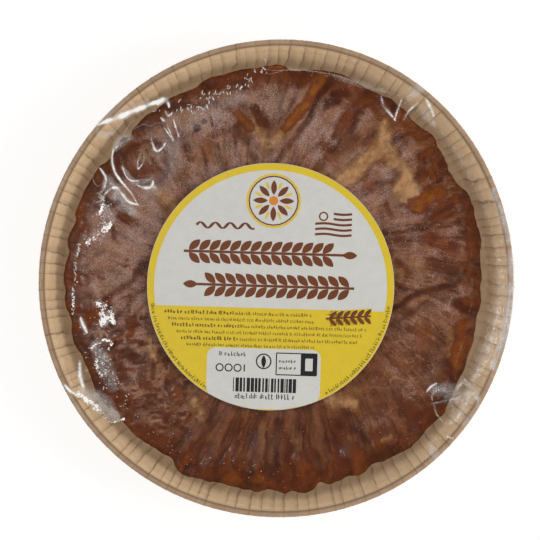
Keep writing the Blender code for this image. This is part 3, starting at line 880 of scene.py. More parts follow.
class CakeSettings(bpy.types.PropertyGroup):
    """Relief and colours of the caramelised cake."""

    fine_relief: length("Fine Relief", "Height of the small creases of the crust", 0.00024)
    swirl: number("Swirl", "How far the streaks turn from middle to edge", 0.35, subtype="ANGLE")
    sugar_density: number("Sugar Density", "Sugar grains for each square metre of crust", 1700000.0)
    sugar_size: length("Sugar Size", "Width of a sugar grain", 0.00030)
    seed: IntProperty(name="Seed", description="Chooses where the grains lie", default=7)
    crust_dark: colour_of("Dark Crust", "Dark streaks of the crust", (0.080, 0.021, 0.008))
    crust_light: colour_of("Light Crust", "Light streaks of the crust", (0.272, 0.092, 0.035))
    amber: colour_of("Caramel", "Clear caramel pools", (0.195, 0.047, 0.008))
    dough: colour_of("Dough", "Pale dough that shows through", (0.400, 0.205, 0.082))
    burnt: colour_of("Burnt Caramel", "Darkest caramel", (0.058, 0.013, 0.006))
    # Pale sugar bloom, mixed with painted sheen of the film
    bloom_and_sheen: colour_of("Sugar Bloom", "Pale bloom on the crust", (0.415, 0.255, 0.208))


def warped(x, y):
    """Shift spots a little at random, so that the edges of marks run unevenly."""
    seed = 40
    shifted_x = x
    shifted_y = y
    for wavelength, reach in MARK_WARP:
        shifted_x = shifted_x + reach * rough_noise(x, y, 0.0, wavelength, seed, octaves=2)
        shifted_y = shifted_y + reach * rough_noise(x, y, 0.5, wavelength, seed + 5, octaves=2)
        seed += 10
    return shifted_x, shifted_y


def mark_nearness(x, y, mark, fray):
    """Return 1 in the middle of a mark, falling to 0 past its frayed edge."""
    distance, _ = path_distance(x, y, photo_path(mark[:4], CAKE_TOP))
    width = mark.width * MM
    distance = np.abs(distance - mark.ring * MM) + FRAY_SHARE * width * fray
    edge = EDGE_SOFTEST * (0.35 + 0.65 * mark.edge)
    return 1.0 - smooth_step(width * (1.0 - edge), width * (1.0 + edge), distance)


def near_heading(angle, heading, spread):
    """Return 1 in one direction from the middle, falling to 0 away from it; both are in degrees."""
    away = np.abs(np.mod(angle - math.radians(heading) + math.pi, FULL_TURN) - math.pi)
    return 1.0 - smooth_step(0.35, 1.0, away / math.radians(spread))


def crust_fields(x, y, settings):
    """Return the crust's tones and its fine relief at spots on the cake."""
    warped_x, warped_y = warped(x, y)
    swirl = settings.swirl
    fray = streak_noise(x, y, 0.0012, 0.0060, 50, swirl)
    tones = {tone: np.zeros(x.shape) for tone in MARKS}
    relief = np.zeros(x.shape)

    def rough(level, wavelength, seed, octaves=3):
        """Return noise whose patches run as unevenly as the marks."""
        return rough_noise(warped_x, warped_y, level, wavelength, seed, octaves)

    def streaked(around, along, seed, turn):
        """Return noise along the spokes that runs as unevenly as the marks."""
        return streak_noise(warped_x, warped_y, around, along, seed, turn)

    def add_tone(tone, values):
        """Let a tone be at least as strong as these values."""
        tones[tone] = np.maximum(tones[tone], values)

    for tone, rows in MARKS.items():
        for mark in [Mark(*row) for row in rows]:
            near = mark_nearness(warped_x, warped_y, mark, fray)
            add_tone(tone, mark.strength * near)
            relief = relief + MARK_RISE * mark.rise * MM * near

    across = x - CAKE_CENTRE[0]
    ahead = y - CAKE_CENTRE[1]
    share = np.hypot(across, ahead) / CAKE_RADIUS
    angle = np.mod(np.arctan2(ahead, across), FULL_TURN)
    streaks = streaked(0.0026, 0.018, 60, swirl)
    fine_streaks = streaked(0.0013, 0.009, 70, swirl)
    cloud = rough_noise(x, y, 0.0, 0.014, 80)
    blotch = rough(0.0, 0.0055, 90)
    outer = smooth_step(0.55, 0.72, share)

    lumps = rough(3.1, 0.0036, 93)
    rim = smooth_step(RIM_START, RIM_FULL, share + 0.04 * blotch) * clamp(0.80 + 0.5 * cloud)
    add_tone("amber", rim * clamp(0.42 + 0.85 * lumps))
    add_tone("dark", rim * clamp(0.26 - 1.10 * lumps))
    relief = relief + rim * RIM_LUMP * lumps

    offset = angle - GATHER_MIDDLE
    sector = 1.0 - smooth_step(0.6 * GATHER_HALF_SPAN, GATHER_HALF_SPAN, np.abs(offset))
    sector = sector * smooth_step(0.55, 0.72, share)
    wander = 0.10 * rough_noise(x, y, 0.3, 0.012, 95)
    furrow = 0.5 - 0.5 * np.cos(FULL_TURN * (offset + wander * GATHER_PITCH * 4.0) / GATHER_PITCH)
    add_tone("dark", sector * (0.30 + 0.45 * furrow ** 3))
    ridge_amber = sector * (1.0 - furrow) ** 1.5 * smooth_step(0.78, 0.93, share)
    add_tone("amber", ridge_amber * clamp(0.85 + 0.50 * cloud + 0.20 * fray))

    rough_share = 1.0 - 0.5 * near_heading(angle, CALM_HEADING, CALM_SPREAD)
    calm = outer * rough_share
    spots = smooth_step(0.40, 1.05, rough(0.7, 0.0085, 100) + 0.08 * fray)
    add_tone("amber", 0.45 * spots * calm)
    blots = smooth_step(0.45, 1.00, rough(1.7, 0.0070, 110) + 0.08 * fray)
    add_tone("dark", 0.42 * blots * calm)
    busy = outer * near_heading(angle, BUSY_HEADING, BUSY_SPREAD)
    flecks = rough(4.3, 0.0026, 170)
    add_tone("dark", 0.80 * busy * smooth_step(0.05, 0.85, flecks))
    add_tone("amber", 0.85 * busy * smooth_step(0.30, 0.85, -flecks))
    veins = smooth_step(0.72, 0.98, 1.0 - 1.6 * np.abs(rough(2.7, 0.0060, 130, octaves=2)))

    # Painted sheen: the film's haze is painted into the crust's colour, strongest towards one heading, and
    # mixed with the pale sugar bloom
    sheen_side = 0.55 + 0.45 * np.cos(angle - math.radians(SHEEN_HEADING))
    bloom_and_sheen = clamp(0.66 + 0.50 * cloud - 0.30 * blotch + 0.22 * streaks + 0.10 * fray) * sheen_side
    bloom_and_sheen = bloom_and_sheen + 0.34 * veins * outer
    bloom_and_sheen = bloom_and_sheen + 0.20 * busy * smooth_step(0.10, 0.80, 1.0 - 2.2 * np.abs(flecks))
    bloom_and_sheen = bloom_and_sheen * (1.0 - 0.9 * smooth_step(0.84, 0.97, share)) * (1.0 - 0.6 * sector)
    add_tone("bloom_and_sheen", bloom_and_sheen)
    tones["bloom_and_sheen"] = tones["bloom_and_sheen"] * (1.0 - clamp(1.15 * tones["amber"])) * (1.0 - 0.7 * clamp(tones["dark"]))
    tones["bloom_and_sheen"] = tones["bloom_and_sheen"] * (1.0 - 0.8 * clamp(tones["dough"]))
    relief = relief + 0.35 * settings.fine_relief * veins * outer

    relief = relief + settings.fine_relief * (0.8 * streaks + 0.45 * fine_streaks + 0.5 * blotch)
    relief = relief - 0.3 * settings.fine_relief * clamp(tones["dark"])
    gathers = streaked(0.0010, 0.022, 150, 0.5 * swirl)
    uneven_streak = (0.22 * streaks + 0.08 * fine_streaks + 0.12 * blotch) * rough_share
    tones["streak"] = clamp(0.5 + uneven_streak * (1.0 - 0.5 * sector) + 0.22 * sector * gathers)
    add_tone("dark", 0.60 * sector * smooth_step(0.40, 1.05, -gathers))
    flakes = smooth_step(0.45, 1.0, streaked(0.0016, 0.0060, 160, -swirl))
    add_tone("dough", 0.30 * flakes * outer * sheen_side * (1.0 - rim))
    wet = clamp(0.20 + 0.7 * tones["amber"] + 0.20 * tones["dark"] - 0.25 * tones["bloom_and_sheen"])
    return tones, wet, relief


def cake_rings(settings):
    """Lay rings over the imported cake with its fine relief; return them, their tones and their wetness."""
    solid = surface_of(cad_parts["cake"])
    angles = circle_angles(CAKE_COLUMNS)
    cosines = np.cos(angles)
    sines = np.sin(angles)
    edge = blur_rings(reaches_inward(solid, angles, CAKE_EDGE_HEIGHT)[None, :], CAD_BLUR_PASSES)[0]
    lumps = rough_noise(CAKE_RADIUS * cosines, CAKE_RADIUS * sines, 0.0, EDGE_LUMP_LENGTH, 140)
    edge = edge + EDGE_LUMP * lumps
    swell = sum(reach * near_heading(angles, heading, spread) for heading, spread, reach in EDGE_SWELLS)

    heights = np.linspace(CAKE_LOW.z + 0.0004, CAKE_EDGE_HEIGHT, CAKE_SIDE_RINGS)
    reach = np.array([reaches_inward(solid, angles, height) for height in heights])
    reach = blur_rings(reach, CAD_BLUR_PASSES // 2)
    reach = reach + (EDGE_LUMP * lumps + swell) * smooth_step(0.006, CAKE_EDGE_HEIGHT, heights)[:, None]
    side_lumps = rough_noise(reach * cosines, reach * sines, heights[:, None], 0.004, 120)
    side = turned_rings(reach + 0.7 * settings.fine_relief * side_lumps, heights, angles)

    field = np.linspace(CAKE_FIELD_END, CAKE_FIELD_START, CAKE_FIELD_RINGS)
    middle = np.linspace(CAKE_FIELD_START, 0.04, CAKE_MIDDLE_RINGS + 1)[1:]
    shares = np.concatenate((field, middle))[:, None]
    x = CAKE_CENTRE[0] + shares * (edge * cosines - CAKE_CENTRE[0])
    y = CAKE_CENTRE[1] + shares * (edge * sines - CAKE_CENTRE[1])
    z = blur_rings(heights_below(solid, x, y, CAKE_EDGE_HEIGHT), CAD_BLUR_PASSES)
    swollen = 1.0 + smooth_step(SWELL_START, 1.0, shares) * swell / edge
    rings = np.concatenate((side, np.stack((x * swollen, y * swollen, z), axis=-1)))
    tones, wet, relief = crust_fields(rings[..., 0], rings[..., 1], settings)
    top = rings[CAKE_SIDE_RINGS:]
    top[..., 2] = np.minimum(z + relief[CAKE_SIDE_RINGS:], crown_height(top[..., 0], top[..., 1]))
    return rings, tones, wet


def crust_material(settings):
    """Caramelised crust: streaked browns, clear caramel, pale dough, and a fine bloom of sugar mixed with
    painted sheen of the film.
    """
    material, shader, place = new_material("caramelised_crust")
    tree = place.tree
    amber, dough, dark = masks_of(tree, "crust_tones")
    streak, bloom_and_sheen, wet = masks_of(tree, "crust_finish")
    cloud = mottle(place, 220.0, 1300.0, 0.45)
    grainy = noise(place, 2100.0, detail=2.0, roughness=0.75)
    spokes = attribute(tree, "thread_place", "Vector")
    threads = noise(spokes, 1.0, detail=2.0, distortion=0.4) - 0.5
    rough_spot = (cloud - 0.5) * 0.80 + threads * 0.6

    def ragged(tone, share):
        """Break up a tone's edge with threads and mottling."""
        return rough_spot * (tone.rise(0.0, 0.25) * share) + tone

    bands = noise(spokes, 0.30, distortion=2.2) - 0.5
    tone = rough_spot * 0.38 + (bands * 0.30 + streak)
    warm = noise(place, 75.0, detail=2.0).rise(0.38, 0.62)
    light = mix(warm, settings.crust_light, (0.262, 0.090, 0.028))
    colour = mix(tone.rise(0.10, 0.92), settings.crust_dark, light)

    patches = noise(place, 300.0, detail=4.0, roughness=0.66) - 0.5
    cream = [min(1.0, 1.25 * part + 0.03) for part in settings.dough]
    dough_colour = mix(patches.rise(-0.15, 0.15), settings.dough, cream)
    uneven_dough = patches * dough.rise(0.0, 0.35, 0.0, 1.2) + ragged(dough, 0.35)
    dough_colour = mix(uneven_dough.rise(0.45, 1.25), OCHRE, dough_colour)
    colour = mix(uneven_dough.rise(0.08, 1.05, 0.0, 0.94), colour, dough_colour)

    bright_amber = [part * gain for part, gain in zip(settings.amber, (1.45, 1.9, 1.8))]
    uneven_amber = patches * amber.rise(0.0, 0.35, 0.0, -1.2) + ragged(amber, 0.3)
    colour = mix(uneven_amber.rise(0.06, 0.42, 0.0, 0.80), colour, DEEP_RED)
    colour = mix(uneven_amber.rise(0.32, 0.95), colour, settings.amber)
    colour = mix(uneven_amber.rise(0.85, 1.45), colour, bright_amber)

    # Pale sugar bloom and painted sheen of the film
    uneven_veil = bands * bloom_and_sheen.rise(0.0, 0.25, 0.0, 0.9) + ragged(bloom_and_sheen, 0.4)
    veil_share = uneven_veil.rise(0.0, 1.0) * grainy.rise(0.30, 0.70, 0.40, 1.0)
    colour = mix(veil_share, colour, mix(bands.rise(0.0, 0.16), settings.bloom_and_sheen, WARM_BLOOM_AND_SHEEN))
    dark_tone = mix(warm, settings.burnt, (0.100, 0.022, 0.008))
    colour = mix(ragged(dark, 0.4).rise(0.1, 1.0, 0.0, 0.90), colour, dark_tone)
    grain_depth = uneven_dough.rise(0.1, 0.7, 0.55, 0.20)
    lit = scaled(colour, grainy.rise(0.32, 0.68, -0.35, 0.40) * grain_depth + 1.0)
    sparkle = specks(place, 1400.0, 0.30, 0.6)
    set_inputs(shader, {
        "Base Color": mix(sparkle * bloom_and_sheen.rise(0.0, 0.8, 0.02, 0.32), lit, (0.60, 0.45, 0.38)),
        "Roughness": wet.rise(0.0, 1.0, 0.55, 0.30),
        "Coat Weight": wet.rise(0.45, 1.0, 0.0, 0.22),
        "Coat Roughness": 0.10,
        "Specular IOR Level": 0.25,
        "Normal": bump(grainy * 0.5 + cloud + threads * 0.8 + sparkle * 0.4, 0.00016, 0.5),
    })
    return material


def sugar_material():
    """Small clear-white sugar grains."""
    material, shader, place = new_material("sugar_grains")
    cloud = mottle(place, 400.0, 2000.0, 0.5)
    set_inputs(shader, {
        "Base Color": mix(cloud, (0.46, 0.33, 0.27), (0.70, 0.58, 0.50)),
        "Roughness": cloud.rise(0.0, 1.0, 0.12, 0.35),
    })
    return material


def make_cake(settings):
    """Build the cake's crust with its folds, blisters and tones."""
    rings, tones, wet = cake_rings(settings)
    piece = turned_piece("cake_crust", rings, CAKE_CENTRE, crust_material(settings))
    keep_on_points(piece, "crust_tones", "FLOAT_COLOR", [tones[key] for key in ("amber", "dough", "dark")])
    keep_on_points(piece, "crust_finish", "FLOAT_COLOR", (tones["streak"], tones["bloom_and_sheen"], wet))
    threads = spoke_place(rings[..., 0], rings[..., 1], THREAD_AROUND, THREAD_ALONG, settings.swirl)
    keep_on_points(piece, "thread_place", "FLOAT_VECTOR", threads)
    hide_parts("cake")
    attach(piece, BODY)
    return piece


def sugar_tree(material):
    """Scatter small grains over the crust, more where the bloom is thick and none under the label."""
    kinds = {"Geometry": "Geometry", "Density": "Float", "Grain Size": "Float", "Seed": "Int"}
    tree, given = new_group("GeometryNodeTree", "sugar_scatter", kinds, "Geometry", "Geometry")
    geometry, density, grain_size, seed = given
    finish = wire(tree, "GeometryNodeInputNamedAttribute", {"Name": "crust_finish"}, data_type="FLOAT_COLOR")
    bloom = wire(tree, "FunctionNodeSeparateColor", {"Color": finish}, "Green")
    position = wire(tree, "GeometryNodeInputPosition")
    x, y, z = parts_of(position)
    reach = vector_maths("LENGTH", join(tree, x - LABEL_CENTRE[0], y - LABEL_CENTRE[1]), output="Value")
    seen = reach.rise(LABEL_RADIUS - 0.002, LABEL_RADIUS - 0.001)
    upper = z.rise(CAKE_EDGE_HEIGHT, CAKE_EDGE_HEIGHT + 0.001)
    patches = noise(position, 160.0, detail=2.0).rise(0.40, 0.62, 0.15, 1.0)
    local = seen * upper * patches * bloom.rise(0.1, 0.8, 0.03, 1.0) * density
    points = wire(
        tree, "GeometryNodeDistributePointsOnFaces", {"Mesh": geometry, "Density": local, "Seed": seed},
        distribute_method="RANDOM",
    )
    turns = {0: (0.0, 0.0, 0.0), 1: (FULL_TURN, FULL_TURN, FULL_TURN)}
    sizes = {2: grain_size * 0.45, 3: grain_size}
    grains = wire(tree, "GeometryNodeInstanceOnPoints", {
        "Points": points,
        "Instance": wire(tree, "GeometryNodeMeshCube", {"Size": (1.0, 0.8, 0.6)}),
        "Rotation": wire(tree, "FunctionNodeRandomValue", turns, data_type="FLOAT_VECTOR"),
        "Scale": wire(tree, "FunctionNodeRandomValue", sizes, 1, data_type="FLOAT"),
    })
    finish_tree(grains, material)
    return tree


def make_sugar(settings, crust):
    """Scatter the sugar grains that sparkle through the film."""
    piece = add_to_scene("sugar_grains", crust.data.copy())
    values = {"Density": settings.sugar_density, "Grain Size": settings.sugar_size, "Seed": settings.seed}
    piece = bake_tree(piece, sugar_tree(sugar_material()), values)
    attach(piece, BODY)
    return piece


# Film

FILM_COLUMNS = 1180
FILM_LIP_REACH = LIP_RADIUS + SKIN_GAP + SKIN_THICKNESS
FILM_CONTACT = 0.945
FILM_SHOULDER_START = 0.84
FILM_CLEAR_OF_CRUST = 0.00012
FILM_CLEAR_OF_WALL = 0.00045
FILM_CLEAR_OF_FLOOR = 0.00005
FILM_WALL_WAVE = 0.00022
FILM_EDGE_BLUR_PASSES = 12
# Painted highlight: how the crackled glare and the smooth bands are painted white into the film
GLARE_REACH = 0.45
GLARE_FULL = 0.72
BAND_EDGE = (0.30, 1.00)
SHINE_STEP = 0.0012

# A place where the film shines or is milky: its path in the photograph, half its width in millimetres, how
# strong it is, and how far the film stands out there in millimetres. Glare is crackled and a band is smooth;
# both are painted highlights. Milky places are partly crinkled film and partly painted sheen
Shine = namedtuple("Shine", "path_px width strength rise", defaults=(1.0, 0.0))

SHINES = {
    "band": (
        ((98, 127, 110, 121.5, 120, 118, 131, 113.5, 141, 109, 150, 105.5, 160, 101), 0.95, 1.4, 0.5),
        ((156, 105, 162, 101, 168, 99), 0.95, 1, 0.4), ((163, 100, 168, 102, 169, 108), 0.55, 1, 0.3),
        ((160, 117, 165, 121), 0.5, 1, 0.2), ((165, 111, 168, 115.5, 172, 113), 0.42),
        ((116, 149, 119, 144, 122, 140), 0.3),
        ((114, 148, 112, 160, 114, 170, 118, 177, 125, 186, 131, 193, 138, 205), 0.46, 1, 0.3),
        ((103, 196, 110, 189, 115, 187.5, 119, 190, 124, 197, 129, 202, 139, 205), 0.72, 1, 0.4),
        ((100, 168, 105, 176, 106, 182, 103, 190, 98, 194), 0.55, 1, 0.3),
        ((97, 192, 103, 199, 96, 203), 0.5, 1, 0.2),
        ((122, 164, 124, 172, 128, 179, 134, 181, 141, 180, 151, 179), 0.34, 1, 0.2),
        ((137, 185, 146, 188, 152, 186, 153, 180), 0.72, 0.95, 0.3),
        ((142, 150, 138, 160, 138, 169, 144, 160, 143, 152), 0.26),
        ((151, 137, 153, 145, 155, 150, 158, 151, 162, 148, 166, 142), 0.48, 1, 0.2),
        ((164, 127, 173, 140, 167, 125), 0.34), ((173, 119, 179, 137, 176, 130), 0.4),
        ((80, 317, 83, 326, 87, 333), 0.8, 1, 0.2), ((80, 360, 81, 376, 86, 391), 0.7, 1, 0.1),
        ((64, 381, 72, 390, 82, 397), 0.55, 1, 0.1), ((82, 394, 98, 407, 114, 421), 0.6, 0.95, 0.1),
        ((381, 96, 384, 106, 390, 113, 396, 121), 0.48, 1, 0.2),
        ((402, 98, 397, 112, 395, 121), 0.32, 1, 0.1), ((418, 103, 408, 112, 403, 122), 0.34, 1, 0.1),
        ((424, 99, 429, 108, 433, 118), 0.6, 1, 0.2), ((426, 393, 431, 387, 438, 383), 0.46, 1, 0.3),
        ((433, 401, 432, 396, 437, 391, 444, 388), 0.32, 1, 0.2),
        ((432, 404, 441, 402, 450, 399, 460, 396, 470, 394), 0.34, 1, 0.3),
        ((434, 405, 437, 415, 443, 421), 0.26, 0.9, 0.1), ((460, 425, 464, 420), 0.36),
        ((452, 437, 444, 435), 0.34),
    ),
    "glare": (
        ((149, 113, 154, 109.5, 160, 111), 1.3, 0.85, 0.4),
        ((97, 201, 103, 205, 100, 213, 104, 221, 108, 225), 1.5, 0.9, 0.4),
        ((110, 224, 103, 231, 94, 238, 87, 243), 2.9, 1, 0.6), ((107, 225, 113, 218), 0.9, 0.8, 0.2),
        ((80, 241, 77, 252, 76, 262, 75, 268), 0.9, 0.75, 0.2), ((75, 268, 74, 280), 1.4, 0.9, 0.2),
        ((73, 286, 73, 314), 1, 0.8, 0.2), ((98, 303, 107, 309, 113, 322), 3, 0.95, 0.4),
        ((105, 306, 104, 318, 101, 327), 3.2, 0.95, 0.6),
        ((91, 348, 102, 341, 112, 341, 108, 351), 1.3, 0.95, 0.3),
        ((96, 354, 97, 368, 104, 379), 1.2, 0.9, 0.3),
        ((108, 352, 103, 363, 106, 371, 103, 381), 1, 0.8, 0.3),
        ((119, 372, 124, 386, 127, 402), 1, 0.55, 0.2), ((79, 392, 95, 405, 110, 420, 123, 419), 2, 1, 0.1),
    ),
    "milky": (
        ((100, 124, 120, 115, 148, 103), 2.4, 0.55), ((97, 130, 103, 136, 112, 134), 1.6, 0.9, 0.2),
        ((115, 149, 121, 141, 131, 138), 2, 1, 0.2), ((108, 180, 118, 196, 132, 212), 3.4, 0.75, 0.2),
        ((123, 168, 134, 182, 150, 180), 1.3, 0.8), ((148, 190, 162, 166, 176, 142), 7, 0.34),
        ((186, 128, 214, 112, 240, 98), 5, 0.26), ((103, 206, 112, 219), 2.4, 0.7),
        ((94, 346, 104, 364, 112, 388), 3.6, 0.6, 0.2), ((84, 280, 96, 292), 3, 0.3, 0.1),
        ((84, 390, 100, 402, 116, 416), 3.6, 0.9), ((335, 77, 360, 84, 385, 92), 1.5, 0.32, 0.1),
        ((408, 98, 414, 92, 420, 91), 2.6, 1, 0.3), ((418, 106, 425, 116, 434, 126), 1.9, 0.7, 0.2),
        ((436, 128, 455, 152, 470, 180), 1.3, 0.25, 0.1),
        ((470, 180, 482, 205, 492, 232, 497, 262), 1.3, 0.15, 0.1),
        ((497, 262, 498, 290, 494, 320), 1.8, 0.22, 0.1), ((494, 320, 486, 346, 470, 382), 2.2, 0.45, 0.2),
        # Painted sheen along the right side of the lip
        ((491, 190, 505, 234, 510, 279, 505, 324, 491, 367), 2, 1.2),
        ((436, 390, 448, 393, 462, 398), 4.2, 0.75, 0.2), ((464, 394, 470, 391, 476, 396), 2.4, 1, 0.4),
        ((464, 379, 470, 386, 476, 393), 1.2, 1, 0.2), ((456, 388, 461, 382, 466, 385), 0.9, 0.9, 0.2),
        ((468, 397, 462, 407, 456, 415, 449, 422), 1.4, 1, 0.3),
        ((476, 399, 477, 406, 470, 414, 462, 421), 1.6, 0.8, 0.2), ((430, 444, 434, 456), 2.2, 0.8, 0.2),
    ),
}

# A narrow fold of film, white with folded film and painted highlight: its path in the photograph and its
# half width in millimetres
FOLDS = {
    "bright": (
        ((262, 67, 266, 70), 0.32),
    ),
    "faint": (
        ((101, 124, 118, 106, 133, 92), 0.15), ((112, 136, 122, 124, 131, 116), 0.16),
        ((122.5, 136, 128, 127.5, 133, 121.5, 140, 118.5), 0.14),
        ((124, 137, 131, 131, 139, 126, 144, 124, 150, 125.5, 158, 122, 164, 125), 0.13),
        ((94, 175, 93, 180, 97, 186, 100, 184), 0.16),
        ((262, 68, 272, 70, 300, 70, 325, 73, 345, 78, 370, 88, 396, 95), 0.17),
        ((268, 74, 276, 72, 284, 70), 0.14), ((70, 390, 78, 405, 92, 425, 97, 433), 0.18),
        ((448, 409, 449, 406, 452, 406, 453, 409, 450, 411), 0.13),
    ),
}

# A scatter of short glints, painted as white ridges: the line they lie along, how far they stray from it,
# how many, their length and half width, all in millimetres, and their heading from the line in degrees
Glints = namedtuple("Glints", "path_px stray count length width heading seed")

GLINTS = {
    "bright": (
        ((172, 108, 196, 108, 214, 103), 2.8, 24, 1.9, 0.22, 80, 1),
        ((202, 97, 222, 92, 244, 84, 264, 70), 3.2, 40, 1.7, 0.22, 75, 2),
        ((80, 241, 76, 258, 75, 278, 74, 296, 73, 310), 0.8, 46, 0.8, 0.26, 35, 11),
        ((104, 194, 104, 216, 100, 236, 86, 240), 3.6, 70, 0.9, 0.17, 60, 12),
        ((102, 302, 104, 326), 3.6, 46, 0.8, 0.18, 60, 13), ((82, 320, 86, 332), 1.2, 8, 0.9, 0.26, 20, 17),
        ((94, 344, 102, 364, 112, 386), 4.4, 84, 0.9, 0.17, 60, 14),
        ((116, 378, 126, 404), 2.4, 18, 0.8, 0.16, 60, 15),
        ((134, 414, 192, 466), 2.8, 14, 0.5, 0.13, 50, 18),
        ((196, 458, 300, 474), 3.6, 16, 0.45, 0.14, 60, 19),
    ),
    "faint": (
        ((262, 68, 300, 70, 345, 78, 396, 95), 1.2, 90, 0.8, 0.09, 85, 3),
        ((330, 75, 390, 93), 2, 70, 0.7, 0.1, 80, 4),
        ((396, 95, 418, 112, 437, 128, 456, 152), 1.2, 70, 0.6, 0.13, 20, 5),
        ((456, 152, 470, 180, 484, 208, 494, 240, 498, 270), 1.2, 110, 0.6, 0.14, 15, 6),
        ((479, 210, 482, 240, 484, 262), 1.6, 22, 0.7, 0.14, 20, 16),
        ((498, 270, 498, 296, 494, 320), 2, 56, 1.1, 0.15, 40, 7),
        ((494, 320, 486, 346, 477, 366, 470, 382), 2.4, 74, 1.4, 0.16, 40, 8),
        ((472, 392, 458, 408, 442, 426), 1.6, 66, 1, 0.14, 75, 9),
        ((442, 430, 432, 446, 426, 462), 2, 40, 1.2, 0.14, 50, 10),
        ((400, 300, 470, 240), 8, 24, 0.5, 0.1, 60, 20),
    ),
}


class FilmSettings(bpy.types.PropertyGroup):
    """Waviness and finish of the clear film."""

    waviness: length("Waviness", "Height of the broad waves on the cake", 0.00009)
    crinkle: length("Crinkle", "Height of the folds between cake and lip", 0.00008)
    shoulder_drop: length("Shoulder Drop", "How far the film dips over the cake's edge", 0.0009)
    sheen: number("Sheen", "Share of light that the clear film sends back", 0.006, subtype="FACTOR")


def shine_marks(x, y):
    """Return the film's painted shine: its milky, crackled and smooth shining places, and how far each
    stands out.
    """
    marks = {kind: np.zeros(x.shape) for kind in SHINES}
    swell = np.zeros(x.shape)
    broken = 1.0 + 0.5 * rough_noise(x, y, 0.0, 0.0024, 230, octaves=2)
    uneven = rough_noise(x, y, 0.0, 0.0034, 235, octaves=2)
    for kind, shine in [(kind, Shine(*row)) for kind, rows in SHINES.items() for row in rows]:
        path = smooth_path(photo_path(shine.path_px, CAKE_TOP), SHINE_STEP)
        distance, progress = path_distance(x, y, path)
        width = shine.width * MM * (0.25 + 0.75 * np.sin(math.pi * progress) ** 0.6)
        if kind == "band":
            near = clamp(1.0 - 0.42 * distance / width)
        else:
            near = 1.0 - smooth_step(0.2, 1.4, distance / np.maximum(width, 0.6 * shine.width * MM))
        strength = shine.strength * clamp(0.88 + (0.70 if kind == "milky" else 0.35) * uneven)
        marks[kind] = np.maximum(marks[kind], strength * near)
        swell = swell + shine.rise * MM * near * near * broken
    return marks, swell


class FilmTop:
    """The film's upper face: on the cake, then bridging from its shoulder to the tray's lip."""

    def __init__(self, settings, crust):
        self.settings = settings
        self.crust = surface_of(crust)
        self.angles = circle_angles(FILM_COLUMNS)
        reach = reaches_inward(self.crust, self.angles, CAKE_EDGE_HEIGHT - 0.001)
        self.edge = blur_rings(reach[None, :], FILM_EDGE_BLUR_PASSES)[0]

    def edge_at(self, x, y):
        """Return how far from the axis the cake's edge is in each spot's direction."""
        turns = np.mod(np.arctan2(y, x), FULL_TURN) / FULL_TURN * FILM_COLUMNS
        return np.interp(turns, np.arange(FILM_COLUMNS + 1), np.append(self.edge, self.edge[0]))

    def level(self, x, y):
        """Return the film's height where it lies on the cake."""
        share = np.hypot(x, y) / self.edge_at(x, y)
        drop = self.settings.shoulder_drop * smooth_step(FILM_SHOULDER_START, 1.0, share) ** 2
        return crown_height(x, y) + SKIN_GAP - drop

    def height(self, x, y):
        """Return the film's height, before its small folds, at spots inside the lip."""
        reach = np.hypot(x, y)
        contact = FILM_CONTACT * self.edge_at(x, y)
        inward = contact / np.maximum(reach, MM)
        start = self.level(x * inward, y * inward)
        bridge = clamp((reach - contact) / (lip_reach(x, y) - contact))
        bridged = start + (LIP_MIDDLE_HEIGHT + FILM_LIP_REACH - start) * bridge ** 0.92
        return np.where(reach < contact, self.level(x, y), bridged)

    def folds(self, x, y, swell):
        """Return the height of the film's waves, crinkles and shining swells."""
        reach = np.hypot(x, y)
        free = smooth_step(LABEL_RADIUS - 0.002, LABEL_RADIUS + 0.006, from_label(x, y))
        waves = self.settings.waviness * free * rough_noise(x, y, 0.0, 0.008, 200)
        between = smooth_step(0.90, 0.99, reach / self.edge_at(x, y))
        inside_lip = 1.0 - smooth_step(lip_reach(x, y) - 0.004, lip_reach(x, y), reach)
        crinkles = streak_noise(x, y, 0.0028, 0.012, 210)
        crinkles = crinkles + 0.5 * rough_noise(x, y, 0.0, 0.0022, 220, octaves=2)
        return waves + inside_lip * (self.settings.crinkle * between * crinkles + swell)

    def surface(self, x, y, swell):
        """Return the finished height of the film, which never dips into the crust."""
        total = self.height(x, y) + self.folds(x, y, swell)
        crust = heights_below(self.crust, x, y, 0.0)
        under_label = from_label(x, y) < LABEL_RADIUS + 0.001
        ceiling = np.where(under_label, crown_height(x, y) + 2.0 * SKIN_GAP, FILM_HIGH.z + 0.001)
        return np.minimum(np.maximum(total, crust + FILM_CLEAR_OF_CRUST), ceiling)


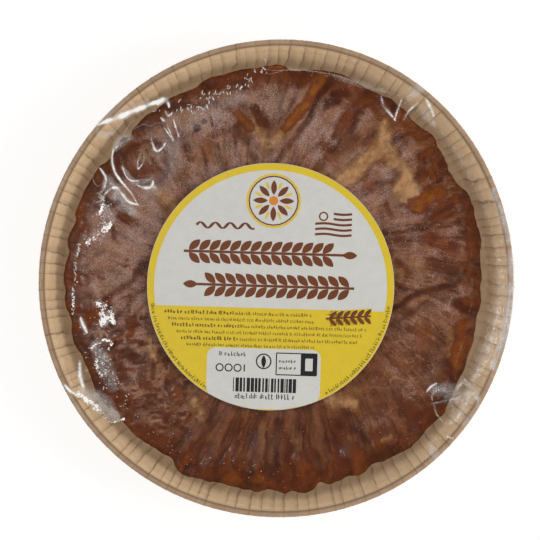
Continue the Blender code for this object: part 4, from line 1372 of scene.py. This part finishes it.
def film_material(settings):
    """Clear film that mirrors a little light, with milky patches and painted glare on it. Glare and bands
    are painted highlights, white and faintly glowing; milky patches are partly crinkled film and partly
    painted sheen.
    """
    material, shader, place = new_material("clear_film")
    milky, glare, band = masks_of(place.tree, "film_marks")
    crumple = noise(place, 1250.0, roughness=0.6, distortion=0.4)
    crackle = 0.5 + GLARE_FULL * GLARE_REACH
    shine = (glare * GLARE_REACH + crumple).rise(crackle, crackle + 0.09)
    grain = noise(place, 1900.0, detail=2.0, roughness=0.6).rise(0.36, 0.66)
    vein = maths("ABSOLUTE", noise(place, 330.0, detail=2.0, roughness=0.5, distortion=1.0) - 0.5)
    milk = milky * (vein.rise(0.035, 0.0) * 0.30 + (grain * 0.20 + 0.22))
    fading = noise(place, 330.0, detail=1.0) - 0.5
    wavy = fading * 0.6 + ((crumple - 0.5) * 0.35 + band)
    shine = maths("MAXIMUM", shine, wavy.rise(*BAND_EDGE))
    milk = maths("MAXIMUM", milk, band.rise(0.0, 0.8) * 0.26)
    white = maths("MAXIMUM", milk, shine * 0.86)
    set_inputs(shader, {
        "Alpha": maths("MINIMUM", white + settings.sheen, 1.0),
        "Metallic": white.rise(0.004, 0.06, 1.0, 0.10),
        "Roughness": white.rise(0.0, 0.5, 0.10, 0.34),
        "Base Color": mix(grain, (0.97, 0.97, 0.97), (0.88, 0.86, 0.84)),
        # Painted highlight: the glare and the bands glow faintly by emission
        "Emission Color": mix(shine, (0.0, 0.0, 0.0), (0.32, 0.32, 0.32)),
        "Emission Strength": 1.0,
        "Normal": bump(crumple, 0.00020, 0.45),
    })
    return material


def glint_and_crease_material(name, share):
    """Folded film and painted glints: white where the film is thick and where a glint is painted,
    see-through in places.
    """
    material, shader, place = new_material(name)
    uneven = noise(place, 1100.0, detail=2.0).rise(0.34, 0.60, 0.45 * share, share)
    set_inputs(shader, {
        "Alpha": uneven,
        "Base Color": mix(uneven, (0.90, 0.88, 0.86), (0.97, 0.97, 0.97)),
        "Metallic": 0.25,
        "Roughness": uneven.rise(0.0, 1.0, 0.40, 0.22),
    })
    return material


def make_film(settings, crust):
    """Build the film over the cake and the lip, down the wall and under the base."""
    angles = circle_angles(FILM_COLUMNS)
    cosines = np.cos(angles)
    sines = np.sin(angles)
    wander = lip_wander(angles)
    wall_reach = SKIN_GAP + SKIN_THICKNESS + FILM_CLEAR_OF_WALL
    lip = arc(LIP_MIDDLE_RADIUS, LIP_MIDDLE_HEIGHT, FILM_LIP_REACH, np.linspace(-22.0, 84.0, 8))
    underside = FILM_LOW.z + FILM_CLEAR_OF_FLOOR
    section = [(radius, underside) for radius in (0.030, 0.060, TRAY_BASE_RADIUS - TRAY_CORNER)]
    section.append((TRAY_BASE_RADIUS + 0.6 * wall_reach, WALL_FOOT * 0.45))
    section += slope((TRAY_BASE_RADIUS + wall_reach, WALL_FOOT), lip[0], np.arange(8) / 8.0) + lip
    radii, heights = np.array(section).T[:, :, None]
    wave = FILM_WALL_WAVE * rough_noise(0.06 * cosines, 0.06 * sines, heights * 0.35, 0.0035, 240)
    wave = wave * (smooth_step(0.001, 0.006, heights) - smooth_step(0.024, 0.028, heights))
    wave = wave + wander * smooth_step(WALL_FOOT, LIP_MIDDLE_HEIGHT, heights)
    side = turned_rings(radii + wave, heights[:, 0], angles)

    radii = np.append(np.linspace(LIP_MIDDLE_RADIUS, 0.062, 58), (0.056, 0.047, 0.030, 0.010))[:, None]
    reach = radii + wander * smooth_step(0.080, LIP_MIDDLE_RADIUS, radii)
    x = reach * cosines
    y = reach * sines
    marks, swell = shine_marks(x, y)
    over = np.stack((x, y, FilmTop(settings, crust).surface(x, y, swell)), axis=-1)
    rings = np.concatenate((side, over))
    piece = turned_piece("clear_film", rings, (0.0, 0.0), film_material(settings))

    side_marks, _ = shine_marks(side[..., 0], side[..., 1])
    on_lip = smooth_step(WALL_HEAD - 0.001, WALL_HEAD, heights)
    kinds = ("milky", "glare", "band")
    channels = [np.concatenate((side_marks[kind] * on_lip, marks[kind])) for kind in kinds]
    keep_on_points(piece, "film_marks", "FLOAT_COLOR", channels)
    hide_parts("film")
    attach(piece, BODY)
    return piece


def glint_paths(kind):
    """Return a short curved path and a half width for every scattered glint of one kind."""
    paths = []
    for row in [Glints(*row) for row in GLINTS[kind]]:
        draw = np.random.default_rng(row.seed)
        line = photo_path(row.path_px, CAKE_TOP)
        legs = np.linalg.norm(np.diff(line, axis=0), axis=1)
        reach = np.concatenate(([0.0], np.cumsum(legs)))
        for _ in range(row.count):
            gone = draw.uniform(0.0, reach[-1])
            leg = min(int(np.searchsorted(reach, gone, side="right")) - 1, len(legs) - 1)
            run = (line[leg + 1] - line[leg]) / legs[leg]
            middle = line[leg] + (gone - reach[leg]) * run
            middle = middle + draw.normal(0.0, 0.5 * row.stray * MM, 2)
            turn = math.radians(row.heading + draw.normal(0.0, 28.0))
            ahead = np.array((
                run[0] * math.cos(turn) - run[1] * math.sin(turn),
                run[0] * math.sin(turn) + run[1] * math.cos(turn),
            ))
            aside = np.array((-ahead[1], ahead[0]))
            half = 0.5 * row.length * MM * draw.uniform(0.4, 1.2)
            bend = 2.0 * half * draw.uniform(-0.35, 0.35)
            path = [middle - half * ahead, middle + bend * aside, middle + half * ahead]
            paths.append((np.array(path), row.width * MM * draw.uniform(0.6, 1.3)))
    return paths


def fold_tree(material):
    """Sweep a low rounded ridge along every path, as wide as the path's radius."""
    kinds = {"Geometry": "Geometry", "Ridge Height": "Float", "Ridge Sides": "Int"}
    tree, given = new_group("GeometryNodeTree", "film_ridges", kinds, "Geometry", "Geometry")
    geometry, ridge_height, ridge_sides = given
    upright = wire(tree, "GeometryNodeSetCurveNormal", {"Curve": geometry}, mode="Z_UP")
    half_turn = {"Resolution": ridge_sides, "Radius": 1.0, "Start Angle": 0.0, "Sweep Angle": math.pi}
    half_round = wire(tree, "GeometryNodeCurveArc", half_turn)
    squash = join(tree, 1.0, ridge_height, 1.0)
    profile = wire(tree, "GeometryNodeTransform", {"Geometry": half_round, "Scale": squash})
    radius = wire(tree, "GeometryNodeInputRadius")
    sweep = {"Curve": upright, "Profile Curve": profile, "Scale": radius}
    swept = wire(tree, "GeometryNodeCurveToMesh", sweep)
    finish_tree(wire(tree, "GeometryNodeSetShadeSmooth", {"Geometry": swept}), material)
    return tree


def make_ridges(name, paths, step, ridge_height, ridge_sides, material, film):
    """Lay narrow ridges of film along paths on the film's own surface."""
    surface = surface_of(film)
    curve = bpy.data.curves.new(name, "CURVE")
    curve.dimensions = "3D"
    for path, width in paths:
        flat = smooth_path(path, step)
        heights = heights_below(surface, flat[:, 0], flat[:, 1], CAKE_TOP)
        spline = curve.splines.new("POLY")
        spline.points.add(len(flat) - 1)
        taper = np.sin(np.linspace(0.06, math.pi - 0.06, len(flat))) ** 0.6
        for point, spot, height, share in zip(spline.points, flat, heights, taper):
            point.co = (*spot, height + 0.00002, 1.0)
            point.radius = width * share
    values = {"Ridge Height": ridge_height, "Ridge Sides": ridge_sides}
    piece = bake_tree(add_to_scene(name, curve), fold_tree(material), values)
    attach(piece, BODY)
    return piece


def make_film_folds(film):
    """Add the narrow folds and the short glints that the shrunk film shows; the glints are painted
    highlights on white ridges.
    """
    for kind, share in (("bright", 0.88), ("faint", 0.36)):
        material = glint_and_crease_material(f"{kind}_creases", share)
        folds = [(photo_path(path_px, CAKE_TOP + 0.001), width * MM) for path_px, width in FOLDS[kind]]
        make_ridges(f"film_folds_{kind}", folds, 0.0005, 0.55, 7, material, film)
        make_ridges(f"film_glints_{kind}", glint_paths(kind), 0.0004, 0.7, 5, material, film)


# Label

LABEL_TILT = math.radians(-1.7)
LABEL_LIFT = 2.0 * SKIN_GAP + SKIN_THICKNESS
INK_LIFT = 0.00003
INK_CELL = 0.0030
RING_WIDTH = 0.0027
FIELD_TOP = -0.0087
PANEL_LEFT, PANEL_RIGHT, PANEL_TOP = -0.0247, 0.0210, -0.0249
PANEL_ROUND = 0.0035
BADGE_MIDDLE = (0.0002, 0.0345)
PETALS = 16
STRIPES_LEFT, STRIPES_RIGHT = 0.0172, 0.0318
BARS_LEFT, BARS_RIGHT, BARS_HEAD, BARS_FOOT = -0.0139, 0.0112, -0.0368, -0.0424
EAR_PITCH = 2.75
EAR_LEAN = math.radians(47.0)
KERNEL_REACH = 0.0064
KERNEL_HALF_WIDTH = 0.00150
EDGE_PRINT_RADIUS = LABEL_RADIUS - 0.0010
WHITE, YELLOW, BROWN, ORANGE, OLIVE, BLACK = range(6)


class LabelSettings(bpy.types.PropertyGroup):
    """Colours of the round label."""

    paper: colour_of("Paper", "White of the paper", (0.72, 0.715, 0.675))
    yellow: colour_of("Yellow", "Yellow of the border and the lower field", (0.83, 0.60, 0.016))
    brown: colour_of("Brown", "Brown of the ornaments", (0.215, 0.052, 0.008))
    orange: colour_of("Orange", "Orange of the small round", (0.80, 0.26, 0.02))
    waviness: length("Waviness", "How far the label ripples", 0.00010)


def label_height(x, y, waviness):
    """Return the height of the label's underside, which ripples a little with the film."""
    return crown_height(x, y) + LABEL_LIFT + waviness * smooth_noise(x, y, 0.0, 0.022, 300)


def toward(angle):
    """Return the unit direction at an angle."""
    return np.array((math.cos(angle), math.sin(angle)))


class PrintedLabel:
    """Collects the paper disc and the raised ink shapes, each a closed thin slab of the ink in use."""

    def __init__(self, waviness):
        self.waviness = waviness
        self.points = []
        self.faces = []
        self.inks = []

    def use(self, ink, layer):
        """Print what follows with this ink; layer 0 is the paper, higher layers lie on it."""
        self.ink = ink
        self.layer = layer

    def place(self, across, ahead, level):
        """Turn spots on the label's face, at a level above its underside, into places on the object."""
        cosine, sine = toward(LABEL_TILT)
        x = LABEL_CENTRE[0] + across * cosine - ahead * sine
        y = LABEL_CENTRE[1] + across * sine + ahead * cosine
        return np.stack((x, y, label_height(x, y, self.waviness) + level), axis=-1).reshape(-1, 3)

    def slab(self, across, ahead, closed=False):
        """Add a closed slab over a grid of spots."""
        start = sum(len(block) for block in self.points)
        low_level = 0.0 if self.layer == 0 else LABEL_THICKNESS - INK_LIFT
        self.points.append(self.place(across, ahead, LABEL_THICKNESS + self.layer * INK_LIFT))
        self.points.append(self.place(across, ahead, low_level))
        grid = start + np.arange(across.size).reshape(across.shape)
        if closed:
            grid = np.concatenate((grid, grid[:1]))
        corners = (grid[:-1, :-1], grid[1:, :-1], grid[1:, 1:], grid[:-1, 1:])
        top = np.stack(corners, axis=-1).reshape(-1, 4)
        faces = [*top.tolist(), *(top[:, ::-1] + across.size).tolist()]
        borders = [grid[:, 0], grid[::-1, -1]]
        if not closed:
            borders += [grid[-1, :], grid[0, ::-1]]
        for border in borders:
            edges = (border[:-1], border[:-1] + across.size, border[1:] + across.size, border[1:])
            faces += np.stack(edges, axis=-1).tolist()
        self.faces += faces
        self.inks += [self.ink] * len(faces)

    def strip(self, path, half_widths, closed=False):
        """Add a band of ink along a path, as wide as its half widths say."""
        half_widths = np.broadcast_to(half_widths, len(path))
        if closed:
            ahead = np.roll(path, -1, axis=0) - np.roll(path, 1, axis=0)
        else:
            ahead = np.gradient(path, axis=0)
        ahead = ahead / np.maximum(np.linalg.norm(ahead, axis=1), 1e-9)[:, None]
        lanes = max(1, int(math.ceil(2.0 * float(half_widths.max()) / INK_CELL)))
        reach = half_widths[:, None] * np.linspace(-1.0, 1.0, lanes + 1)
        self.slab(path[:, :1] + ahead[:, 1:] * reach, path[:, 1:] - ahead[:, :1] * reach, closed)

    def line(self, start, end, half_width):
        """Add a straight band of ink."""
        steps = max(2, int(math.ceil(math.dist(start, end) / INK_CELL)) + 1)
        self.strip(np.linspace(start, end, steps), half_width)

    def leaf(self, start, end, half_width):
        """Add a pointed oval of ink from one end to the other."""
        fullness = np.sin(np.linspace(0.0, math.pi, 9)) ** 0.75
        self.strip(np.linspace(start, end, 9), half_width * np.maximum(fullness, 0.04))

    def ring(self, middle, radius, half_width):
        """Add a round line of ink."""
        angles = circle_angles(max(24, int(FULL_TURN * radius / INK_CELL) + 1))[::-1]
        path = np.column_stack((middle[0] + radius * np.cos(angles), middle[1] + radius * np.sin(angles)))
        self.strip(path, half_width, closed=True)


def ear_of_grain(label, start, end):
    """Draw a lying ear of grain: a stem, pairs of kernels that lean along it, and one at its tip."""
    start = np.array(start)
    whole = math.dist(start, end)
    ahead = (end - start) / whole
    aside = np.array((-ahead[1], ahead[0]))
    label.line(start, end, 0.00050)
    pitch = EAR_PITCH * KERNEL_HALF_WIDTH
    for index in range(int((whole - 0.4 * KERNEL_REACH) / pitch)):
        foot = start + (0.5 + index) * pitch * ahead
        for side in (1.0, -1.0):
            lean = math.cos(EAR_LEAN) * ahead + side * math.sin(EAR_LEAN) * aside
            label.leaf(foot + 0.0006 * side * aside, foot + KERNEL_REACH * lean, KERNEL_HALF_WIDTH)
    label.leaf(end - 0.1 * KERNEL_REACH * ahead, end + 0.8 * KERNEL_REACH * ahead, KERNEL_HALF_WIDTH)


def print_word_marks(label, spot_at, first, last, height, half_width, seed):
    """Draw small print as words of thin upright strokes; spot_at gives a place and its up direction."""
    draw = np.random.default_rng(seed)
    gone = first
    left_in_word = int(draw.integers(2, 9))
    while gone < last:
        place, up = spot_at(gone)
        aside = np.array((up[1], -up[0]))
        tall = height * draw.choice((0.62, 0.62, 1.0))
        width = height * draw.choice((0.0, 0.30, 0.42))
        label.line(place, place + tall * up, half_width)
        for level in draw.choice((0.0, 0.31, 0.62), 2 if width > 0.0 else 0, replace=False):
            low = place + level * height * up
            label.line(low, low + width * aside, 0.8 * half_width)
        gone += width + 2.0 * half_width * draw.uniform(1.6, 2.2)
        left_in_word -= 1
        if left_in_word <= 0:
            left_in_word = int(draw.integers(2, 10))
            gone += 0.35 * height


def print_row(label, row, left, right, height, half_width, seed):
    """Draw a straight row of small print."""

    def spot_at(gone):
        return np.array((gone, row)), np.array((0.0, 1.0))

    print_word_marks(label, spot_at, left, right, height, half_width, seed)


def print_arc(label, first_degrees, last_degrees, seed):
    """Draw small print along the label's edge, with its head to the middle."""

    def spot_at(gone):
        outward = toward(gone / EDGE_PRINT_RADIUS)
        return EDGE_PRINT_RADIUS * outward, -outward

    first, last = np.radians((first_degrees, last_degrees)) * EDGE_PRINT_RADIUS
    print_word_marks(label, spot_at, first, last, 0.0015, 0.00012, seed)


def half_chord(row, radius):
    """Return half the width of a circle at a row above its middle."""
    return np.sqrt(np.maximum(radius * radius - row * row, 1e-12))


def print_fields(label):
    """Print the yellow border, the yellow lower field and the white panel in it."""
    inner = LABEL_RADIUS - RING_WIDTH
    label.use(YELLOW, 1)
    label.ring((0.0, 0.0), LABEL_RADIUS - 0.5 * RING_WIDTH - 0.00012, 0.5 * RING_WIDTH)
    rows = np.linspace(FIELD_TOP, -inner + 0.0004, 17)
    label.strip(np.column_stack((0.0 * rows, rows)), half_chord(rows, inner + 0.0003))
    label.use(WHITE, 2)
    corner = np.linspace(0.0, 0.5 * math.pi, 6)
    straight = np.linspace(PANEL_TOP - PANEL_ROUND, -LABEL_RADIUS + 0.0005, 12)[1:]
    rows = np.concatenate((PANEL_TOP - PANEL_ROUND * (1.0 - np.cos(corner)), straight))
    rounding = np.pad(PANEL_ROUND * (1.0 - np.sin(corner)), (0, len(straight)))
    chord = half_chord(rows, LABEL_RADIUS - 0.00012)
    left = np.maximum(PANEL_LEFT + rounding, -chord)
    right = np.minimum(PANEL_RIGHT - rounding, chord)
    lanes = int((PANEL_RIGHT - PANEL_LEFT) / INK_CELL) + 1
    across = left[:, None] + (right - left)[:, None] * np.linspace(0.0, 1.0, lanes + 1)
    label.slab(across, np.broadcast_to(rows[:, None], across.shape))


def print_badge(label):
    """Print the plain double ring with a rosette of petals in it."""
    badge = np.array(BADGE_MIDDLE)
    label.use(YELLOW, 1)
    label.ring(badge, 0.0106, 0.00040)
    label.use(BROWN, 2)
    label.ring(badge, 0.0098, 0.00026)
    for petal in range(PETALS):
        ahead = toward(petal * FULL_TURN / PETALS)
        foot, half_width, ink = ((0.0024, 0.00115, BROWN), (0.0046, 0.00050, YELLOW))[petal % 2]
        label.use(ink, 2)
        label.leaf(badge + foot * ahead, badge + 0.0082 * ahead, half_width)
    label.use(ORANGE, 2)
    label.ring(badge, 0.00094, 0.00090)


def print_ornaments(label):
    """Print the ornaments of the white field."""
    label.use(BROWN, 2)
    ear_of_grain(label, (-0.0352, 0.0134), (0.0292, 0.0134))
    ear_of_grain(label, (0.0335, 0.0002), (-0.0300, 0.0002))
    print_badge(label)
    label.use(BROWN, 2)
    for index in range(5):
        left = STRIPES_LEFT if index > 1 else 0.5 * (STRIPES_LEFT + STRIPES_RIGHT)
        x = np.linspace(left, STRIPES_RIGHT, 15)
        bend = np.sin((x - STRIPES_LEFT) / (STRIPES_RIGHT - STRIPES_LEFT) * FULL_TURN)
        label.strip(np.column_stack((x, 0.0300 - 0.00212 * index + 0.00032 * bend)), 0.00046)
    label.ring((STRIPES_LEFT + 0.0032, 0.0288), 0.0016, 0.00028)
    x = np.linspace(-0.0304, -0.0072, 49)
    phase = (x + 0.0304) / 0.0030 * math.pi
    path = np.column_stack((x, 0.0240 + 0.0011 * np.sin(phase)))
    label.strip(path, 0.00026 + 0.00030 * np.abs(np.cos(phase)))

    start = np.array((0.0225, -0.0122))
    end = np.array((0.0405, -0.0106))
    for reach, ink, layer in ((0.0011, YELLOW, 1), (0.0, BROWN, 2)):
        label.use(ink, layer)
        label.line(start, end, 0.00035 + 1.6 * reach)
        for index in range(6):
            foot = start + (end - start) * (0.08 + 0.155 * index)
            for side in (1.0, -1.0):
                label.leaf(foot, foot + (0.0028, 0.0030 * side), 0.00082 + reach)


def print_small(label):
    """Print the small rows, the bars and the plain signs."""
    for index in range(6):
        row = -0.0116 - 0.00258 * index
        reach = float(half_chord(row, LABEL_RADIUS)) - 0.0062 - 0.0008 * index
        right = (0.0170, 0.0180, reach, reach, reach, 0.0180)[index]
        left, stroke = ((-0.33 * reach, 0.00011), (-reach, 0.00009))[index % 2]
        label.use(OLIVE, 2)
        print_row(label, row, left, right, 0.0013, stroke, 400 + index)
        if index % 2 == 0:
            label.use(OLIVE, 3)
            print_row(label, row, -reach, -0.35 * reach, 0.0014, 0.00018, 410 + index)
    label.use(OLIVE, 2)
    print_arc(label, 190.0, 241.0, 420)
    print_arc(label, 299.0, 352.0, 421)

    label.use(BLACK, 3)
    print_row(label, -0.0281, -0.0197, -0.0090, 0.0017, 0.00014, 430)
    for index in range(3):
        label.ring((-0.0195 + 0.0036 * index, -0.0329), 0.0014, 0.00024)
    label.line((-0.0096, -0.0343), (-0.0096, -0.0315), 0.00024)
    label.ring((-0.0019, -0.0300), 0.0029, 0.00026)
    label.leaf((-0.0019, -0.0326), (-0.0019, -0.0276), 0.00095)
    corners = ((0.0032, -0.0265), (0.0194, -0.0265), (0.0194, -0.0352), (0.0032, -0.0352))
    for start, end in zip(corners, corners[1:] + corners[:1]):
        label.line(start, end, 0.00022)
    label.line((0.0162, -0.0266), (0.0162, -0.0351), 0.00320)
    label.use(WHITE, 4)
    label.line((0.0163, -0.0284), (0.0163, -0.0334), 0.00150)
    label.use(BLACK, 3)
    print_row(label, -0.0303, 0.0044, 0.0108, 0.0013, 0.00014, 431)
    print_row(label, -0.0330, 0.0044, 0.0112, 0.0013, 0.00014, 432)

    draw = np.random.default_rng(440)
    spot = BARS_LEFT
    while spot < BARS_RIGHT:
        width = draw.choice((0.00016, 0.00033, 0.00050, 0.00066))
        foot = max(BARS_FOOT, -float(half_chord(spot + 0.0009, LABEL_RADIUS - 0.0016)))
        label.line((spot + width, BARS_HEAD), (spot + width, foot), width)
        spot += 2.0 * width + draw.choice((0.00033, 0.00050, 0.00066))
    print_row(label, -0.0451, BARS_LEFT + 0.0010, BARS_RIGHT, 0.0021, 0.00016, 441)


def ink_material(name, colour, roughness):
    """Coated paper or ink: a faint grain in its colour and its gloss."""
    material, shader, place = new_material(name)
    cloud = mottle(place, 260.0, 2400.0, 0.6)
    set_inputs(shader, {
        "Base Color": mix(cloud, colour, [0.90 * part for part in colour]),
        "Roughness": cloud.rise(0.0, 1.0, roughness, roughness + 0.10),
        "Normal": bump(cloud, 0.00003, 0.35),
    })
    return material


def make_label(settings):
    """Build the round label with its printed fields and ornaments."""
    label = PrintedLabel(settings.waviness)
    angles = circle_angles(180)[::-1, None]
    radii = np.linspace(0.0003, LABEL_RADIUS, 20)
    label.use(WHITE, 0)
    label.slab(radii * np.cos(angles), radii * np.sin(angles), closed=True)
    print_fields(label)
    print_ornaments(label)
    print_small(label)
    inks = {
        "label_paper": (settings.paper, 0.45),
        "yellow_ink": (settings.yellow, 0.40),
        "brown_ink": (settings.brown, 0.45),
        "orange_ink": (settings.orange, 0.45),
        "olive_ink": ((0.13, 0.085, 0.012), 0.45),
        "black_ink": ((0.025, 0.024, 0.024), 0.45),
    }
    materials = [ink_material(name, *look) for name, look in inks.items()]
    piece = new_mesh_object("round_label", np.vstack(label.points), label.faces, materials, label.inks)
    piece.data.shade_flat()
    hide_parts("label")
    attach(piece, BODY)
    return piece


# Stage

KEY_PLACE = (0.98, -0.12, 0.75)
GLINT_PLACE = (-0.68, 0.18, 1.00)
KEY_SIDE = 0.42
GLINT_SIDE = 0.22
FLOOR_HALF_SIDE = 3.0
FLOOR_GLOW = 0.74


class StageSettings(bpy.types.PropertyGroup):
    """Camera, lights and floor."""

    lens: number("Lens", "Focal length in millimetres", CAMERA_LENS_MM)
    key_power: number("Key Power", "Power of the soft key light", 4.2, unit="POWER")
    glint_power: number("Glint Power", "Power of the softbox that the film mirrors", 4.0, unit="POWER")
    sky: number("Sky", "Brightness of the soft light from all round", 0.70)
    floor: colour_of("Floor", "Colour of the floor", (0.36, 0.36, 0.36))


def make_floor(settings):
    """Lay a pale floor that reads nearly white."""
    sides = ((-1.0, -1.0), (1.0, -1.0), (1.0, 1.0), (-1.0, 1.0))
    corners = [(x * FLOOR_HALF_SIDE, y * FLOOR_HALF_SIDE, 0.0) for x, y in sides]
    material, shader, place = new_material("studio_floor")
    darker = [0.985 * part for part in settings.floor]
    set_inputs(shader, {
        "Base Color": mix(mottle(place, 3.0, 20.0, 0.2), settings.floor, darker),
        "Roughness": 0.9,
        "Emission Color": (1.0, 1.0, 1.0),
        "Emission Strength": FLOOR_GLOW,
    })
    floor = new_mesh_object("studio_floor", corners, [(0, 1, 2, 3)], [material])
    return floor


def make_world(settings):
    """Light the stage evenly from all round; only the softboxes are mirrored."""
    world = bpy.data.worlds.new("studio_world")
    bpy.context.scene.world = world
    world.use_nodes = True
    set_inputs(world.node_tree.nodes["Background"], {"Strength": settings.sky, "Color": (1.0, 0.985, 0.965)})
    world.cycles_visibility.glossy = False


def aim(item, target):
    """Turn a lamp or a camera to look at a spot."""
    direction = Vector(target) - item.location
    item.rotation_euler = direction.to_track_quat("-Z", "Y").to_euler()


def make_lamp(name, location, side, power, glints):
    """Add one square softbox aimed at the cake, for glints alone or for the soft light alone."""
    data = bpy.data.lights.new(name, "AREA")
    data.shape = "SQUARE"
    data.size = side
    data.energy = power
    lamp = add_to_scene(name, data)
    lamp.location = location
    aim(lamp, (0.0, 0.0, CAKE_TOP))
    lamp.visible_diffuse = not glints
    lamp.visible_glossy = glints
    return lamp


def make_camera(settings):
    """Place the camera straight above, as in the photograph."""
    data = bpy.data.cameras.new("camera")
    data.lens = settings.lens
    data.sensor_width = CAMERA_SENSOR_MM
    data.sensor_fit = "HORIZONTAL"
    data.clip_start = 0.01
    camera = add_to_scene("camera", data)
    camera.location = (*CAMERA_PLACE, CAMERA_HEIGHT)
    bpy.context.scene.camera = camera
    return camera


# Operators

class Step:
    """What the operators share: each builds its piece from the scene's settings."""

    def execute(self, context):
        self.build(context.scene.wrapped_cake)
        return {"FINISHED"}


def piece_named(name):
    """Return a piece that an earlier step made, or stop with a plain message."""
    piece = bpy.data.objects.get(name)
    if piece is None:
        raise RuntimeError(f"{name} has to be made first")
    return piece


class WRAPPEDCAKE_OT_stage(Step, bpy.types.Operator):
    """Set up the camera, the lights and the floor"""

    bl_idname = "wrapped_cake.stage"
    bl_label = "Stage"

    def build(self, settings):
        settings = settings.stage
        make_camera(settings)
        make_world(settings)
        make_lamp("key_softbox", KEY_PLACE, KEY_SIDE, settings.key_power, glints=False)
        make_lamp("glint_softbox", GLINT_PLACE, GLINT_SIDE, settings.glint_power, glints=True)
        make_floor(settings)
        bpy.context.scene.view_settings.view_transform = "Standard"


class WRAPPEDCAKE_OT_tray(Step, bpy.types.Operator):
    """Make the pleated paper tray"""

    bl_idname = "wrapped_cake.tray"
    bl_label = "Paper Tray"

    def build(self, settings):
        make_tray(settings.tray)


class WRAPPEDCAKE_OT_cake(Step, bpy.types.Operator):
    """Make the caramelised cake"""

    bl_idname = "wrapped_cake.cake"
    bl_label = "Cake"

    def build(self, settings):
        make_cake(settings.cake)


class WRAPPEDCAKE_OT_sugar(Step, bpy.types.Operator):
    """Scatter the sugar grains over the cake"""

    bl_idname = "wrapped_cake.sugar"
    bl_label = "Sugar Grains"

    def build(self, settings):
        make_sugar(settings.cake, piece_named("cake_crust"))


class WRAPPEDCAKE_OT_film(Step, bpy.types.Operator):
    """Make the clear film round the cake and its tray"""

    bl_idname = "wrapped_cake.film"
    bl_label = "Clear Film"

    def build(self, settings):
        make_film(settings.film, piece_named("cake_crust"))


class WRAPPEDCAKE_OT_film_folds(Step, bpy.types.Operator):
    """Add the narrow folds and glints of the film"""

    bl_idname = "wrapped_cake.film_folds"
    bl_label = "Film Folds"

    def build(self, settings):
        make_film_folds(piece_named("clear_film"))


class WRAPPEDCAKE_OT_label(Step, bpy.types.Operator):
    """Make the round label"""

    bl_idname = "wrapped_cake.label"
    bl_label = "Label"

    def build(self, settings):
        make_label(settings.label)


class WrappedCakeSettings(bpy.types.PropertyGroup):
    """All settings of the wrapped cake."""

    tray: PointerProperty(type=TraySettings)
    cake: PointerProperty(type=CakeSettings)
    film: PointerProperty(type=FilmSettings)
    label: PointerProperty(type=LabelSettings)
    stage: PointerProperty(type=StageSettings)


OPERATORS = (
    WRAPPEDCAKE_OT_stage,
    WRAPPEDCAKE_OT_tray,
    WRAPPEDCAKE_OT_cake,
    WRAPPEDCAKE_OT_sugar,
    WRAPPEDCAKE_OT_film,
    WRAPPEDCAKE_OT_film_folds,
    WRAPPEDCAKE_OT_label,
)


class WRAPPEDCAKE_PT_panel(bpy.types.Panel):
    """Lists the steps that build the wrapped cake"""

    bl_idname = "WRAPPEDCAKE_PT_panel"
    bl_label = "Butter Cake"
    bl_space_type = "VIEW_3D"
    bl_region_type = "UI"
    bl_category = "Butter Cake"

    def draw(self, context):
        for operator in OPERATORS:
            self.layout.operator(operator.bl_idname)


PART_SETTINGS = (TraySettings, CakeSettings, FilmSettings, LabelSettings, StageSettings)
CLASSES = PART_SETTINGS + (WrappedCakeSettings,) + OPERATORS + (WRAPPEDCAKE_PT_panel,)


def register():
    """Register every class and the settings."""
    for item in CLASSES:
        bpy.utils.register_class(item)
    bpy.types.Scene.wrapped_cake = PointerProperty(type=WrappedCakeSettings)


def unregister():
    """Take the settings and every class away again."""
    del bpy.types.Scene.wrapped_cake
    for item in reversed(CLASSES):
        bpy.utils.unregister_class(item)


def main():
    """Build every piece in order."""
    register()
    bpy.ops.wrapped_cake.stage()
    bpy.ops.wrapped_cake.tray()
    bpy.ops.wrapped_cake.cake()
    bpy.ops.wrapped_cake.sugar()
    bpy.ops.wrapped_cake.film()
    bpy.ops.wrapped_cake.film_folds()
    bpy.ops.wrapped_cake.label()


if __name__ == "__main__":
    main()
